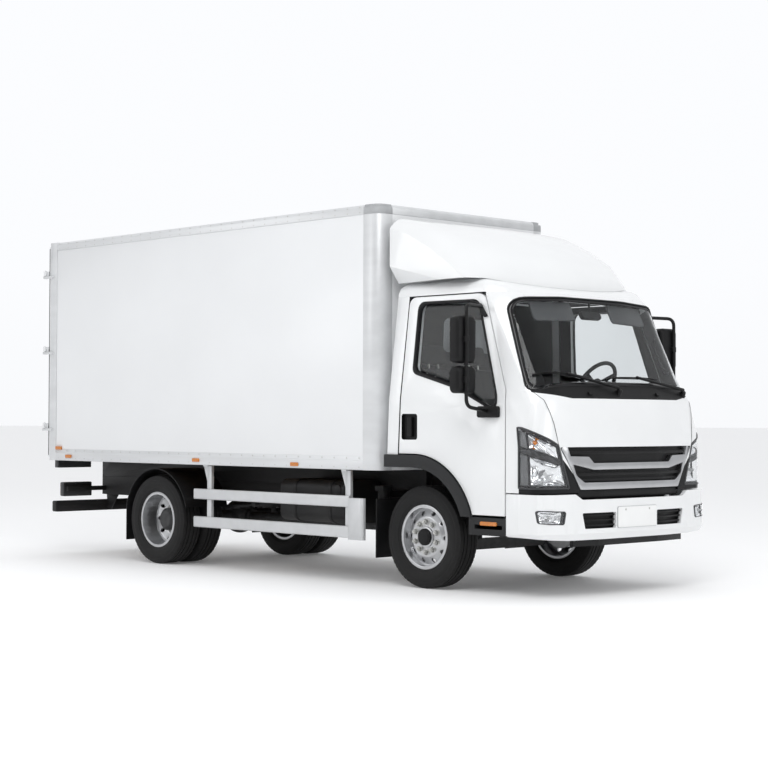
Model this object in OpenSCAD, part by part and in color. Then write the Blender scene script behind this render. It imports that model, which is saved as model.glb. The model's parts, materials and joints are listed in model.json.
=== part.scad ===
// Light box truck with a tilting cab over its engine, built from separate named pieces.
// Millimetres. X runs forward, Y to the truck's left, Z up from the ground; the outline is centred in X and Y.
// Inside the modules, X is measured forward from the front axle.

/* [Overall] */
// distance between the axles
wheelbase = 3110; // [2950:10:3400]
// front axle to the face of the bumper
front_overhang = 1305; // [1300:1:1320]
// rear axle to the rearmost hinge ring
rear_overhang = 1687; // [1640:1:1800]

/* [Wheels] */
// outer radius of a tyre, also the height of the axles
tyre_r = 376; // [372:1:380]
// width of a tyre at its widest
tyre_w = 205; // [190:1:210]
// radius of the rim flange
rim_r = 236; // [232:1:240]
// middle plane of a front wheel from the truck's centre line
front_wheel_y = 745; // [740:1:750]
// plane where the two discs of a rear pair meet
rear_pair_y = 712; // [705:1:720]
// distance between the middle planes of a rear pair
pair_spacing = 235; // [225:1:240]
// hand holes in a wheel disc
hand_holes = 10; // [6:1:12]

/* [Chassis] */
// top of the frame rails
rail_top = 700; // [690:1:702]
// height of a frame rail
rail_h = 170; // [160:1:172]
// outer face of a frame rail from the centre line
rail_out = 375; // [370:1:378]
// kingpin from the centre line
kingpin_y = 630; // [625:1:634]
// kingpin radius
kingpin_r = 18; // [15:1:22]
// length of the steering arms
steer_arm = 170; // [160:1:172]
// height of the tube on which the cab tilts
pivot_z = 600; // [590:1:610]
// radius of that tube
pivot_r = 25; // [22:1:30]

/* [Cargo box] */
// half the width of the box over its rails
box_half_w = 955; // [945:1:960]
// underside of the box
box_low = 855; // [850:1:870]
// top of the box
box_top = 2850; // [2700:10:2900]
// front face of the box behind the front axle
box_setback = 365; // [360:1:400]
// thickness of the box walls
box_wall = 30; // [25:1:35]
// thickness of a rear door
rear_door_t = 40; // [35:1:42]
// hinge axis behind the outer face of a rear door
hinge_back = 35; // [34:1:40]

/* [Cab] */
// half the width of the cab below its belt line
cab_half_w = 940; // [930:1:945]
// nose of the cab ahead of the front axle
nose_x = 1268; // [1264:1:1270]
// back wall of the cab behind the front axle
cab_back = 300; // [290:1:305]
// top of the cab roof
roof_z = 2245; // [2235:1:2250]
// height where the windscreen slope begins
cowl_z = 1390; // [1380:1:1395]
// lean of the windscreen from the vertical
screen_lean = 25.6; // [25:0.1:26]
// thickness of roof, back and front panels
panel_t = 45; // [35:1:50]
// top of the roof deflector
deflector_z = 2735; // [2650:5:2760]

/* [Cab doors] */
// front edge of a door ahead of the front axle
door_front = 887; // [880:1:890]
// lower edge of a door
door_low = 567; // [560:1:572]
// upper edge of a door
door_top = 2130; // [2120:1:2135]
// shut gap around a door
door_gap = 9; // [8:0.5:10]
// thickness of a door
door_t = 60; // [50:1:65]
// hinge axis inside the door's front edge and skin
hinge_inset = 8; // [8:0.5:9]

/* [Fits] */
// radial clearance of hinge pins and bushes
pin_fit = 0.05; // [0.02:0.01:0.1]
// clearance of wheel bores, tyre seats and glass edges
seat_fit = 0.3; // [0.2:0.1:0.5]

/* [Hidden] */
$fn = 64;
axle_z = tyre_r;
front_axle_x = (wheelbase + rear_overhang - front_overhang) / 2;
rear_axle = -wheelbase;
// frame
rail_t = 8;
rail_flange = 65;
rail_in = rail_out - rail_flange;
rail_low = rail_top - rail_h;
spring_y = rail_in + 30;
pivot_x = 1100;
frame_front = 1060;
frame_rear = rear_axle - rear_overhang + 110;
// cargo box
rear_gap = 6;
ring_r = 16;
hinge_pin_r = 8;
box_rear = rear_axle - rear_overhang + ring_r + hinge_back + rear_door_t + rear_gap;
box_front = -box_setback;
rail_band = 105;
floor_top = box_low + 100;
top_band = 75;
post_w = 100;
rear_hinge_x = box_rear - rear_gap - rear_door_t - hinge_back;
rear_hinge_y = box_half_w + 5;
rear_door_face = box_rear - rear_gap - rear_door_t;
hinge_heights = [box_low + 295, (box_low + box_top) / 2, box_top - 300];
guard_out = box_half_w - 23;
guard_in = box_half_w - 50;
tail_lamp_out = box_half_w - 135;
// cab
arch_in = 510;
arch_out = 602;
screen_low = 100;
screen_high = 805;
bumper_half_w = cab_half_w + 6;
bumper_back = 905;
cab_top_z = door_top + door_gap;
cab_reach = cab_half_w + 60;
front_low = 730;
cowl_low = 1385;
cowl_half = cab_half_w - 80;
cowl_flat = cab_half_w - 340;
nose_flat = cab_half_w - 610;
screen_half = cab_half_w - 55;
lamp_in = cab_half_w - 285;
lamp_low = 762;
lamp_back = 995;
grille_half = cab_half_w - 380;
grille_low = 752;
grille_top = 1048;
deflector_half = cab_half_w - 5;
deflector_back = -262;
floor_z = 900;
floor_t = 28;
driver_y = cab_half_w - 520;
mirror_y = cab_half_w + 190;
handle_depth = 26;
door_pin_r = 4;

// Shared shapes

function unit(v) = v / norm(v);

// one corner b between a and c, rounded with radius r in n steps
function corner(a, b, c, r, n) =
    let (u = unit(a - b), v = unit(c - b), half = acos(u * v) / 2)
    let (o = b + unit(u + v) * r / sin(half), s = b + u * r / tan(half), e = b + v * r / tan(half))
    let (a0 = atan2(s.y - o.y, s.x - o.x), d = atan2(e.y - o.y, e.x - o.x) - a0)
    let (sweep = d > 180 ? d - 360 : d < -180 ? d + 360 : d)
    r == 0 ? [b] : [for (i = [0:n]) o + r * [cos(a0 + sweep * i / n), sin(a0 + sweep * i / n)]];

// outline from a table of corners, columns: x, y, corner radius
function rounded(table, n = 6) = [
    for (i = [0:len(table) - 1])
        let (p = table[(i + len(table) - 1) % len(table)], q = table[i], s = table[(i + 1) % len(table)])
        each corner([p.x, p.y], [q.x, q.y], [s.x, s.y], q.z, n)];

// a half outline given for positive x, completed by its mirror image
function both_halves(table) =
    concat(table, [for (i = [len(table) - 1:-1:0]) [-table[i].x, table[i].y, table[i].z]]);

// points on an arc about a wheel centre
function wheel_arc(r, a0, a1, n = 14) = [
    for (i = [0:n])
        let (turn = a0 + (a1 - a0) * i / n)
        r * [cos(turn), sin(turn)]];

module from_front_axle() {
    translate([front_axle_x, 0, 0]) children();
}

module right_side() {
    mirror([0, 1, 0]) children();
}

module both_sides() {
    children();
    right_side() children();
}

// outline drawn in y and z, pushed along x
module along_x(x0, x1) {
    translate([x0, 0, 0]) rotate([90, 0, 90]) linear_extrude(x1 - x0) children();
}

// outline drawn in x and z, pushed along y
module along_y(y0, y1) {
    translate([0, y1, 0]) rotate([90, 0, 0]) linear_extrude(y1 - y0) children();
}

// block between two opposite corners
module block(a, b) {
    translate(a) cube(b - a);
}

// round bar between two points
module rod(a, b, r) {
    d = b - a;
    translate(a) rotate([0, acos(d.z / norm(d)), atan2(d.y, d.x)]) cylinder(h = norm(d), r = r);
}

// profile of radius and outward offset turned about a left wheel's axle
module turned() {
    rotate([-90, 0, 0]) rotate_extrude() children();
}

// Chassis

module frame_rails() {
    color("dimgray") from_front_axle() both_sides() difference() {
        block([frame_rear, rail_in, rail_low], [frame_front, rail_out, rail_top]);
        block([frame_rear - 1, rail_in - 1, rail_low + rail_t],
            [frame_front + 1, rail_out - rail_t, rail_top - rail_t]);
    }
}

module crossmembers() {
    half = rail_out - rail_t;
    // columns: front face, lower edge
    bays = [[1010, rail_low + rail_t], [-1050, 600], [-1900, 600], [-2600, 600], [-3620, 600]];
    color("dimgray") from_front_axle() {
        for (bay = bays) {
            difference() {
                block([bay[0] - 60, -half, bay[1]], [bay[0], half, rail_top - rail_t]);
                block([bay[0] - 61, -half - 1, bay[1] + rail_t], [bay[0] - 8, half + 1, rail_top - 2 * rail_t]);
            }
        }
        rear_crossmember(half);
        cab_pivot();
    }
}

// rear closing plate with the coupling's four bolt holes
module rear_crossmember(half) {
    difference() {
        block([frame_rear, -half, rail_low + rail_t], [frame_rear + 14, half, rail_top - rail_t]);
        for (y = [-60, 60], z = [-27.5, 27.5])
            translate([frame_rear - 1, y, rail_top - rail_h / 2 + z]) rotate([0, 90, 0])
                cylinder(h = 20, r = 7.5);
    }
}

// tube carried by two bosses on the front ends of the rails
module cab_pivot() {
    along_y(-rail_out, rail_out) translate([pivot_x, pivot_z]) circle(pivot_r);
    both_sides() {
        along_y(rail_in, rail_out) translate([pivot_x, pivot_z]) circle(pivot_x - frame_front);
        block([frame_front, rail_in, pivot_z - 40], [pivot_x, rail_out, pivot_z + 40]);
    }
}

module front_axle() {
    // columns: distance from the centre line, height from the wheel centre, corner radius
    beam = [[600, 44, 0], [600, -46, 0], [545, -46, 30], [470, -116, 30], [-470, -116, 30], [-545, -46, 30],
        [-600, -46, 0], [-600, 44, 0], [-530, 44, 30], [-450, -36, 30], [450, -36, 30], [530, 44, 30]];
    color("dimgray") from_front_axle() translate([0, 0, axle_z]) {
        along_x(-35, 35) polygon(rounded(beam));
        both_sides() {
            translate([0, kingpin_y, -46]) cylinder(h = 90, r = 40);
            translate([0, kingpin_y, -91]) cylinder(h = 180, r = kingpin_r);
            block([-60, spring_y - 30, -40], [60, spring_y + 30, 24]);
        }
    }
}

module rear_axle() {
    tube = rear_pair_y - 177;
    color("dimgray") from_front_axle() translate([rear_axle, 0, axle_z]) {
        along_y(-tube, tube) circle(60);
        along_y(-rear_pair_y - 60, rear_pair_y + 60) circle(40);
        sphere(150);
        along_x(0, 175) circle(62);
        along_x(170, -rear_axle - 900) circle(45);
        both_sides() block([-60, spring_y - 30, 0], [60, spring_y + 30, 70]);
    }
}

// stack of leaves: seat is the top of the main leaf over the axle
module leaf_pack(half_len, seat, camber, leaves) {
    leaf = 11;
    bend = (half_len * half_len + camber * camber) / (2 * camber);
    along_y(spring_y - 30, spring_y + 30) for (i = [1:leaves])
        intersection() {
            translate([0, seat + bend]) difference() {
                circle(bend + i * leaf, $fn = 360);
                circle(bend, $fn = 360);
            }
            translate([0, seat])
                square([2 * half_len * (1 - 0.2 * (i - 1)), 4 * camber + 8 * leaf], center = true);
        }
    for (end = [-1, 1]) {
        along_y(spring_y - 30, spring_y + 30) translate([end * half_len, seat + camber]) circle(20);
        block([end * half_len - 18, spring_y - 30, seat + camber],
            [end * half_len + 18, spring_y + 30, rail_low]);
    }
}

module leaf_springs() {
    color("dimgray") from_front_axle() both_sides() {
        leaf_pack(600, axle_z + 24 + 33, 70, 3);
        translate([rear_axle, 0, 0]) leaf_pack(620, axle_z + 70 + 44, 20, 4);
    }
}

module engine() {
    color("gray") from_front_axle() {
        block([-350, -280, 420], [700, 280, 880]);
        block([-900, -180, 300], [-350, 180, 680]);
    }
}

module fuel_tank() {
    // columns: distance from the centre line, height, corner radius
    shell = [[400, 430, 60], [790, 430, 70], [790, 760, 70], [400, 760, 60]];
    color("dimgray") from_front_axle() right_side() {
        along_x(-1650, -900) polygon(rounded(shell));
        for (x = [-1500, -1090]) {
            along_x(x, x + 40) offset(delta = 5) polygon(rounded(shell));
            block([x, rail_out, rail_low + 20], [x + 40, 396, rail_top - 20]);
        }
        translate([-975, 796, 690]) rotate([90, 0, 0]) cylinder(h = 30, r = 38);
    }
}

module battery_box() {
    color("dimgray") from_front_axle() {
        block([-1450, 400, 450], [-950, 760, 700]);
        block([-1456, 394, 700], [-944, 766, 740]);
        for (x = [-1400, -1040]) block([x, rail_out, rail_low + 20], [x + 40, 400, rail_top - 20]);
    }
}

module silencer() {
    front = -1700;
    back = rear_axle + 760;
    pipe_r = 28;
    pipe_z = 470;
    can_y = 540;
    color("silver") from_front_axle() {
        along_x(back, front) translate([can_y, 540]) circle(105);
        along_x(back - 70, back) translate([can_y, 540]) circle(30);
        along_x(front, front + 60) translate([can_y, pipe_z]) circle(pipe_r);
        rod([front + 40, can_y, pipe_z], [front + 40, 232, pipe_z], pipe_r);
        along_x(front + 20, -350) translate([232, pipe_z]) circle(pipe_r);
        for (x = [back + 100, front - 130]) block([x, rail_out, 560], [x + 30, 460, 600]);
    }
}

module filter_can() {
    color("silver") from_front_axle() right_side() {
        translate([-620, 640, 500]) cylinder(h = 190, r = 45);
        block([-665, 590, 690], [-575, 690, 730]);
        block([-640, rail_out, 640], [-600, 600, 690]);
    }
}

module side_guards() {
    rear_end = rear_axle + 520;
    // columns: lower edge, upper edge
    bars = [[338, 428], [570, 657]];
    color("silver") from_front_axle() both_sides() {
        for (bar = bars)
            along_x(rear_end, -700) polygon(rounded([[guard_in, bar[0], 6], [guard_out, bar[0], 10],
                [guard_out, bar[1], 10], [guard_in, bar[1], 6]]));
        translate([0, 0, 327]) linear_extrude(314)
            polygon(rounded([[-704, guard_in - 15, 0], [-704, guard_out + 4, 0], [-551, guard_out + 4, 30],
                [-551, guard_in - 15, 10]]));
        for (x = [rear_end + 146, -765]) {
            block([x, guard_in - 25, 338], [x + 55, guard_in, box_low]);
            block([x, guard_in - 25, box_low - 10], [x + 55, box_half_w - 5, box_low]);
            along_y(guard_in - 17, guard_in - 8) polygon([[x - 60, box_low], [x, box_low - 160], [x, box_low]]);
        }
    }
}

module underrun_bar() {
    back = box_rear - 30;
    half = box_half_w - 55;
    color("black") from_front_axle() {
        along_x(back, back + 60) polygon(rounded(both_halves([[half, 480, 15], [half, 380, 15]])));
        both_sides() {
            along_y(rail_in + 10, rail_in + 22) polygon([[back + 60, 390], [back + 60, 470],
                [frame_rear + 10, rail_low], [frame_rear + 190, rail_low], [back + 120, 390]]);
            block([frame_rear + 20, rail_out, 570], [frame_rear + 60, tail_lamp_out - 20, 610]);
        }
    }
}

module tail_lamps() {
    color("darkred") from_front_axle() both_sides() {
        along_x(frame_rear - 35, frame_rear + 20)
            polygon(rounded([[tail_lamp_out - 310, 520, 12], [tail_lamp_out, 520, 12], [tail_lamp_out, 650, 12],
                [tail_lamp_out - 310, 650, 12]]));
        along_x(box_rear - 4, box_rear + 50)
            polygon(rounded([[tail_lamp_out - 290, box_low - 70, 8], [tail_lamp_out + 72, box_low - 70, 8],
                [tail_lamp_out + 72, box_low, 2], [tail_lamp_out - 290, box_low, 2]]));
    }
}

module mudguards() {
    inner = 430;
    color("black") from_front_axle() both_sides() {
        translate([rear_axle, 0, axle_z]) {
            along_y(490, 935) intersection() {
                difference() {
                    circle(inner + 8);
                    circle(inner);
                }
                translate([-600, 120]) square([1200, 600]);
            }
            block([-422, 490, -190], [-414, 935, 122]);
            for (x = [-400, 388]) block([x, rail_out, 175], [x + 12, 500, 190]);
        }
        block([-490, 600, 198], [-478, 850, 640]);
        rod([-496, rail_out, 590], [-496, 830, 590], 6);
    }
}

// eye for a drop pin on the rear crossmember
module tow_eye() {
    color("black") from_front_axle() translate([frame_rear, 0, rail_low + 25]) linear_extrude(30) difference() {
        union() {
            translate([-75, 0]) circle(32);
            translate([-75, -32]) square([75, 64]);
        }
        translate([-75, 0]) circle(20);
    }
}

// Cargo box

module box_floor() {
    count = 9;
    color("tan") from_front_axle() {
        difference() {
            block([box_rear + 80, 32 - box_half_w, floor_top - 40],
                [box_front - box_wall, box_half_w - 32, floor_top]);
            both_sides() {
                linear_extrude(box_top) polygon(front_corner(0));
                rear_post();
            }
        }
        both_sides() block([frame_rear, rail_in, rail_top], [box_front - 60, rail_out, box_low]);
        for (i = [0:count - 1])
            translate([box_rear + 150 + i * (box_front - box_rear - 300) / (count - 1), 0, 0])
                block([-25, 55 - box_half_w, box_low], [25, box_half_w - 55, floor_top - 40]);
    }
}

module box_walls() {
    color("white") from_front_axle() both_sides()
        block([box_rear + post_w, box_half_w - 5 - box_wall, box_low + rail_band],
            [box_front - 160, box_half_w - 5, box_top - top_band]);
}

module box_front_wall() {
    color("white") from_front_axle()
        block([box_front - box_wall, 150 - box_half_w, box_low],
            [box_front, box_half_w - 150, box_top - top_band]);
}

module box_roof() {
    color("white") from_front_axle() difference() {
        block([box_rear + 80, 65 - box_half_w, box_top - 50], [box_front - 60, box_half_w - 65, box_top - 12]);
        both_sides() rear_post();
    }
}

module box_rails() {
    w = box_half_w;
    low = [[w - 32, box_low, 0], [w, box_low, 8], [w, box_low + 70, 0], [w - 5, box_low + 75, 0],
        [w - 5, box_low + rail_band, 0], [w - 32, box_low + rail_band, 0]];
    high = [[w - 65, box_top - top_band, 0], [w, box_top - top_band, 4], [w, box_top, 35],
        [w - 65, box_top, 0]];
    color("silver") from_front_axle() {
        both_sides() {
            along_x(box_rear + post_w, box_front - 160) polygon(rounded(low));
            along_x(box_rear + post_w, box_front - 160) polygon(rounded(high));
        }
        along_y(150 - w, w - 150) polygon(rounded([[box_front - 60, box_top - top_band, 0],
            [box_front, box_top - top_band, 4], [box_front, box_top, 35], [box_front - 60, box_top, 0]]));
    }
}

// plan of a rounded front corner, shared by the post and the cap on it
function front_corner(grow) = rounded([[box_front - 160, box_half_w - 35, 0],
    [box_front - 160, box_half_w + grow, 0], [box_front + grow, box_half_w + grow, 95],
    [box_front + grow, box_half_w - 150, 0],
    [box_front - box_wall, box_half_w - 150, 0], [box_front - box_wall, box_half_w - 35, 40]]);

module box_posts() {
    color("silver") from_front_axle() both_sides()
        translate([0, 0, box_low]) linear_extrude(box_top - top_band - box_low) polygon(front_corner(0));
}

module corner_caps() {
    color("gray") from_front_axle() both_sides()
        translate([0, 0, box_top - top_band]) {
            linear_extrude(top_band - 22) polygon(front_corner(0));
            translate([0, 0, top_band - 22]) linear_extrude(22) polygon(front_corner(-14));
        }
}

module rear_post() {
    block([box_rear, box_half_w - 75, box_low], [box_rear + post_w, box_half_w, box_top]);
}

module rear_frame() {
    w = box_half_w;
    color("silver") from_front_axle() {
        block([box_rear, 75 - w, box_top - 90], [box_rear + 80, w - 75, box_top]);
        block([box_rear, 75 - w, box_low], [box_rear + 80, w - 75, floor_top]);
        both_sides() {
            rear_post();
            for (z = hinge_heights) {
                block([rear_hinge_x - 14, rear_hinge_y - 14, z - 25],
                    [box_rear + 50, rear_hinge_y + 14, z - 2]);
                translate([rear_hinge_x, rear_hinge_y, z - 10]) cylinder(h = 60, r = hinge_pin_r);
            }
        }
    }
}

module marker_lamps() {
    // columns: ahead of the front axle, middle height
    places = [[box_rear + 150, 968], [box_rear + 310, 895], [(box_rear + box_front) / 2, 895], [-1294, 885]];
    color("orange") from_front_axle() both_sides() for (place = places)
        along_y(box_half_w - (place[1] > 930 ? 5 : 0), box_half_w + 9)
            translate(place) polygon(rounded([[-45, -15, 8], [45, -15, 8], [45, 15, 8], [-45, 15, 8]]));
}

module rear_door() {
    edge = box_half_w - 19;
    rod_x = rear_door_face - 15;
    handle_z = box_low + 640;
    block([rear_door_face, 4, box_low + 30], [box_rear - rear_gap, edge, box_top - 30]);
    for (z = hinge_heights)
        translate([rear_hinge_x, rear_hinge_y, z]) difference() {
            union() {
                cylinder(h = 45, r = ring_r);
                block([-8, -150, 0], [hinge_back, -12, 45]);
            }
            block([-20, -160, -1], [hinge_back - 12, -40, 46]);
            translate([0, 0, -1]) cylinder(h = 47, r = hinge_pin_r + pin_fit);
        }
    translate([rod_x, 230, box_low + 5]) cylinder(h = box_top - box_low - 10, r = 12);
    for (z = [box_low + 120, handle_z - 195, handle_z + 255, box_top - 150])
        block([rod_x - 13, 200, z], [rear_door_face, 260, z + 40]);
    block([rod_x - 12, 225, handle_z - 15], [rod_x + 4, 470, handle_z + 15]);
    block([rod_x, 420, handle_z - 30], [rear_door_face, 480, handle_z + 30]);
}

module rear_door_left() {
    color("white") from_front_axle() rear_door();
}

module rear_door_right() {
    color("white") from_front_axle() right_side() rear_door();
}

// Cab shell

// half plan of a bowed nose, columns: across, forward, corner radius
function nose_plan(half, flat, side, front) = [[half - side, -2400, 0], [half - side, -215 - front, 250 - side],
    [flat + 405 - side, -40 - front, 250 - side], [flat, -front, 900]];

// bowed prism leaning back from a point on the nose
module nose_prism(x, z, lean, half, flat, side, front) {
    plan = both_halves(nose_plan(half, flat, side, front));
    translate([x, 0, z]) rotate([0, -lean, 0]) translate([0, 0, -1500]) linear_extrude(3200)
        polygon([for (p = rounded(plan)) [p.y, p.x]]);
}

// the cab's outer form, shrunk by a wall on each face
module cab_form(side = 0, front = 0, top = 0, back = 0) {
    // columns: foot of the slope ahead of the front axle, its height, its lean, half width of its flat middle
    slopes = [[nose_x, 900, 0, nose_flat], [nose_x, 1050, 6, nose_flat + 7],
        [nose_x - 36, cowl_z, screen_lean, nose_flat + 14], [nose_x - 386, cowl_z + 730, 46, nose_flat + 21]];
    // columns: distance from the centre line, height, corner radius
    flank = [[cab_half_w - side, 400, 0], [cab_half_w - side, 1380, 500],
        [cab_half_w - 72 - side, roof_z - top, 110]];
    // columns: ahead of the front axle, height, corner radius
    profile = [[back - cab_back, 400, 0], [2000, 400, 0], [2000, roof_z - 420 - top, 0],
        [560, roof_z - top, 500], [back - cab_back + 78, roof_z - 5 - top, 60]];
    intersection() {
        along_y(-cab_reach, cab_reach) polygon(rounded(profile));
        along_x(-500, 1500) polygon(rounded(both_halves(flank)));
        intersection_for (slope = slopes)
            nose_prism(slope[0], slope[1], slope[2], cab_half_w, slope[3], side, front);
    }
}

module cab_shell() {
    difference() {
        cab_form();
        cab_form(side = door_t, front = panel_t, top = panel_t, back = panel_t);
    }
}

// windscreen outline in the plane of its slope
module screen_prism(shrink) {
    outline = both_halves([[screen_half - shrink, screen_low + shrink, 70],
        [screen_half - 59 - shrink, screen_high - shrink, 80]]);
    translate([nose_x - 36, 0, cowl_z]) rotate([0, -screen_lean, 0])
        along_x(-400, 300) polygon(rounded(outline));
}

// outline of a door in x and z, grown outward by a gap
module door_outline(grow) {
    outline = [[door_front + grow, door_low - grow, 0], [door_front + grow, 1440, 60],
        [640 + grow, door_top + grow, 90], [-100 - grow, door_top + grow, 60], [-157 - grow, 900, 0],
        [-157 - grow, door_low - grow, 0]];
    difference() {
        polygon(rounded(outline));
        translate([0, axle_z]) circle(arch_out + door_gap - grow);
        translate([-1000, 0]) square([1000, axle_z + arch_out + door_gap - grow]);
    }
}

module window_outline(shrink) {
    polygon(rounded([[-17 + shrink, 1589 + shrink, 50], [420, 1470 + shrink, 300],
        [792 - shrink, 1296 + shrink, 50], [800 - shrink, 1400, 60], [580 - shrink, 2075 - shrink, 90],
        [5 + shrink, 2080 - shrink, 60]]));
}

// region in front of the doors, behind a line that follows the windscreen pillars
module ahead_of_doors(z0, z1) {
    along_y(-cab_reach, cab_reach) intersection() {
        polygon([[door_front + door_gap, 400], [2000, 400], [2000, 2600], [640 + door_gap - 170, 2600],
            [640 + door_gap, door_top], [door_front + door_gap, 1440]]);
        translate([-1000, z0]) square([3000, z1 - z0]);
    }
}

module cab_roof() {
    color("white") from_front_axle() difference() {
        intersection() {
            cab_shell();
            block([-600, -cab_reach, cab_top_z], [2000, cab_reach, 2600]);
        }
        screen_prism(0);
    }
}

module rear_window_outline(shrink) {
    half = cab_half_w - 510 - shrink;
    polygon(rounded(both_halves([[half, 1750 + shrink, 50], [half, 2005 - shrink, 50]])));
}

module cab_back_wall() {
    color("white") from_front_axle() difference() {
        intersection() {
            cab_shell();
            union() {
                along_y(-cab_reach, cab_reach) polygon([[-600, axle_z + arch_out],
                    [-157 - door_gap, axle_z + arch_out], [-100 - door_gap, cab_top_z], [-600, cab_top_z]]);
                block([-600, door_t - cab_half_w, floor_z], [-cab_back + 100, cab_half_w - door_t, 1200]);
            }
        }
        along_x(-600, 0) rear_window_outline(0);
    }
}

module cab_pillars() {
    color("white") from_front_axle() difference() {
        intersection() {
            cab_shell();
            ahead_of_doors(cowl_low + 40, cab_top_z);
        }
        screen_prism(0);
        along_x(0, 2000) translate([-cowl_half, 1300]) square([2 * cowl_half, 260]);
    }
}

// lamp outline seen from the front
module lamp_outline(shrink) {
    polygon([[lamp_in + shrink, lamp_low + shrink], [cab_reach, lamp_low + shrink], [cab_reach, 1200 - shrink],
        [lamp_in + 265, 1182 - shrink], [lamp_in + 93 + shrink, 1062 - shrink]]);
}

// grille opening seen from the front
module grille_outline(shrink) {
    polygon(rounded(both_halves([[grille_half + 40 - shrink, front_low - 40, 0],
        [grille_half - shrink, grille_low, 0], [grille_half + 181 - shrink, grille_top - shrink, 10]])));
}

// panel between the front and the windscreen, seen from the front up to a height
module cowl_outline(top) {
    polygon([[-cowl_half, top], [-cowl_half, cowl_low + 40], [-cowl_flat, cowl_low], [cowl_flat, cowl_low],
        [cowl_half, cowl_low + 40], [cowl_half, top]]);
}

module cab_front() {
    color("white") from_front_axle() difference() {
        intersection() {
            cab_shell();
            ahead_of_doors(front_low, cowl_low + 40);
        }
        along_x(900, 2000) grille_outline(0);
        both_sides() along_x(lamp_back, 2000) lamp_outline(0);
        along_x(900, 2000) cowl_outline(1700);
    }
}

// skin of the cab between two depths
module skin(outer, inner) {
    difference() {
        cab_form(side = outer, front = outer, top = outer, back = outer);
        cab_form(side = inner, front = inner, top = inner, back = inner);
    }
}

// windscreen and rear window
module cab_glass() {
    color("lightgray") from_front_axle() {
        intersection() {
            skin(4, 12);
            screen_prism(seat_fit);
        }
        intersection() {
            skin(14, 22);
            along_x(-600, 0) rear_window_outline(seat_fit);
        }
    }
}

module cowl() {
    color("black") from_front_axle() difference() {
        intersection() {
            skin(0, 25);
            along_x(900, 2000) cowl_outline(1560);
        }
        screen_prism(0);
    }
}

// bright frame and its kinked middle bar seen from the front
module frame_outline() {
    w = grille_half;
    u_shape = [[w + 181, grille_top, 0], [w, grille_low, 20], [-w, grille_low, 20], [-w - 181, grille_top, 0],
        [-w - 125, grille_top, 0], [-w - 40, 850, 60], [40 - w, 800, 60], [w - 40, 800, 60], [w + 40, 850, 60],
        [w + 125, grille_top, 0]];
    bar = [[w + 110, 985, 0], [w - 80, 980, 20], [w - 130, 935, 20], [130 - w, 935, 20], [80 - w, 980, 20],
        [-w - 110, 985, 0], [-w - 80, 930, 0], [130 - w, 890, 30], [w - 130, 890, 30], [w + 80, 930, 0]];
    intersection() {
        grille_outline(seat_fit);
        union() {
            polygon(rounded(u_shape));
            polygon(rounded(bar));
        }
    }
}

module grille() {
    // columns: lower edge, upper edge
    slats = [[700, 745], [808, 828], [848, 868], [998, 1018]];
    color("black") from_front_axle() {
        intersection() {
            skin(30, 60);
            along_x(900, 2000) grille_outline(seat_fit);
        }
        for (slat = slats)
            intersection() {
                skin(12, 31);
                along_x(900, 2000) difference() {
                    intersection() {
                        grille_outline(12);
                        translate([-cab_reach, slat[0]]) square([2 * cab_reach, slat[1] - slat[0]]);
                    }
                    frame_outline();
                }
            }
    }
}

module grille_frame() {
    color("silver") from_front_axle() intersection() {
        skin(-6, 30 - seat_fit);
        along_x(900, 2000) frame_outline();
    }
}

module front_lamps() {
    color("gainsboro") from_front_axle() {
        both_sides() intersection() {
            skin(3, 40);
            along_x(lamp_back + seat_fit, 2000) lamp_outline(seat_fit);
        }
        both_sides() intersection() {
            bumper_skin(6, 40);
            along_x(900, 2000) fog_outline(seat_fit);
        }
    }
}

// bowed prism between two depths behind the bumper's face
module bumper_skin(outer, inner) {
    difference() {
        nose_prism(front_overhang, 500, 0, bumper_half_w, bumper_half_w - 610, outer, outer);
        nose_prism(front_overhang, 500, 0, bumper_half_w, bumper_half_w - 610, inner, inner);
    }
}

module fog_outline(shrink) {
    w = bumper_half_w;
    polygon(rounded([[w - 211 + shrink, 515 + shrink, 14], [w - 61 - shrink, 528 + shrink, 14],
        [w - 51 - shrink, 618 - shrink, 14], [w - 226 + shrink, 608 - shrink, 14]]));
}

module intake_outline(shrink) {
    w = bumper_half_w;
    polygon(rounded([[w - 711 + shrink, 482 + shrink, 10], [w - 396 - shrink, 482 + shrink, 10],
        [w - 368 - shrink, 592 - shrink, 10], [w - 711 + shrink, 592 - shrink, 10]]));
}

module bumper() {
    w = bumper_half_w;
    face = both_halves([[w - 246, 405, 20], [w + 4, 425, 20], [w + 4, 722, 12], [w - 306, 722, 30],
        [w - 371, 684, 30]]);
    color("white") from_front_axle() difference() {
        intersection() {
            bumper_skin(0, 28);
            along_x(bumper_back, 1400) polygon(rounded(face));
        }
        both_sides() {
            along_x(900, 2000) fog_outline(0);
            along_x(900, 2000) intake_outline(0);
        }
    }
}

module bumper_inserts() {
    half = bumper_half_w - 326;
    color("black") from_front_axle() {
        intersection() {
            bumper_skin(40, 70);
            along_x(900, 2000) polygon([[-half, 360], [half, 360], [half, 600], [-half, 600]]);
        }
        both_sides() for (z = [500, 535, 570])
            intersection() {
                bumper_skin(14, 40);
                along_x(900, 2000) intersection() {
                    intake_outline(seat_fit);
                    translate([0, z]) square([bumper_half_w, 10]);
                }
            }
    }
}

// Roof deflector

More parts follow.
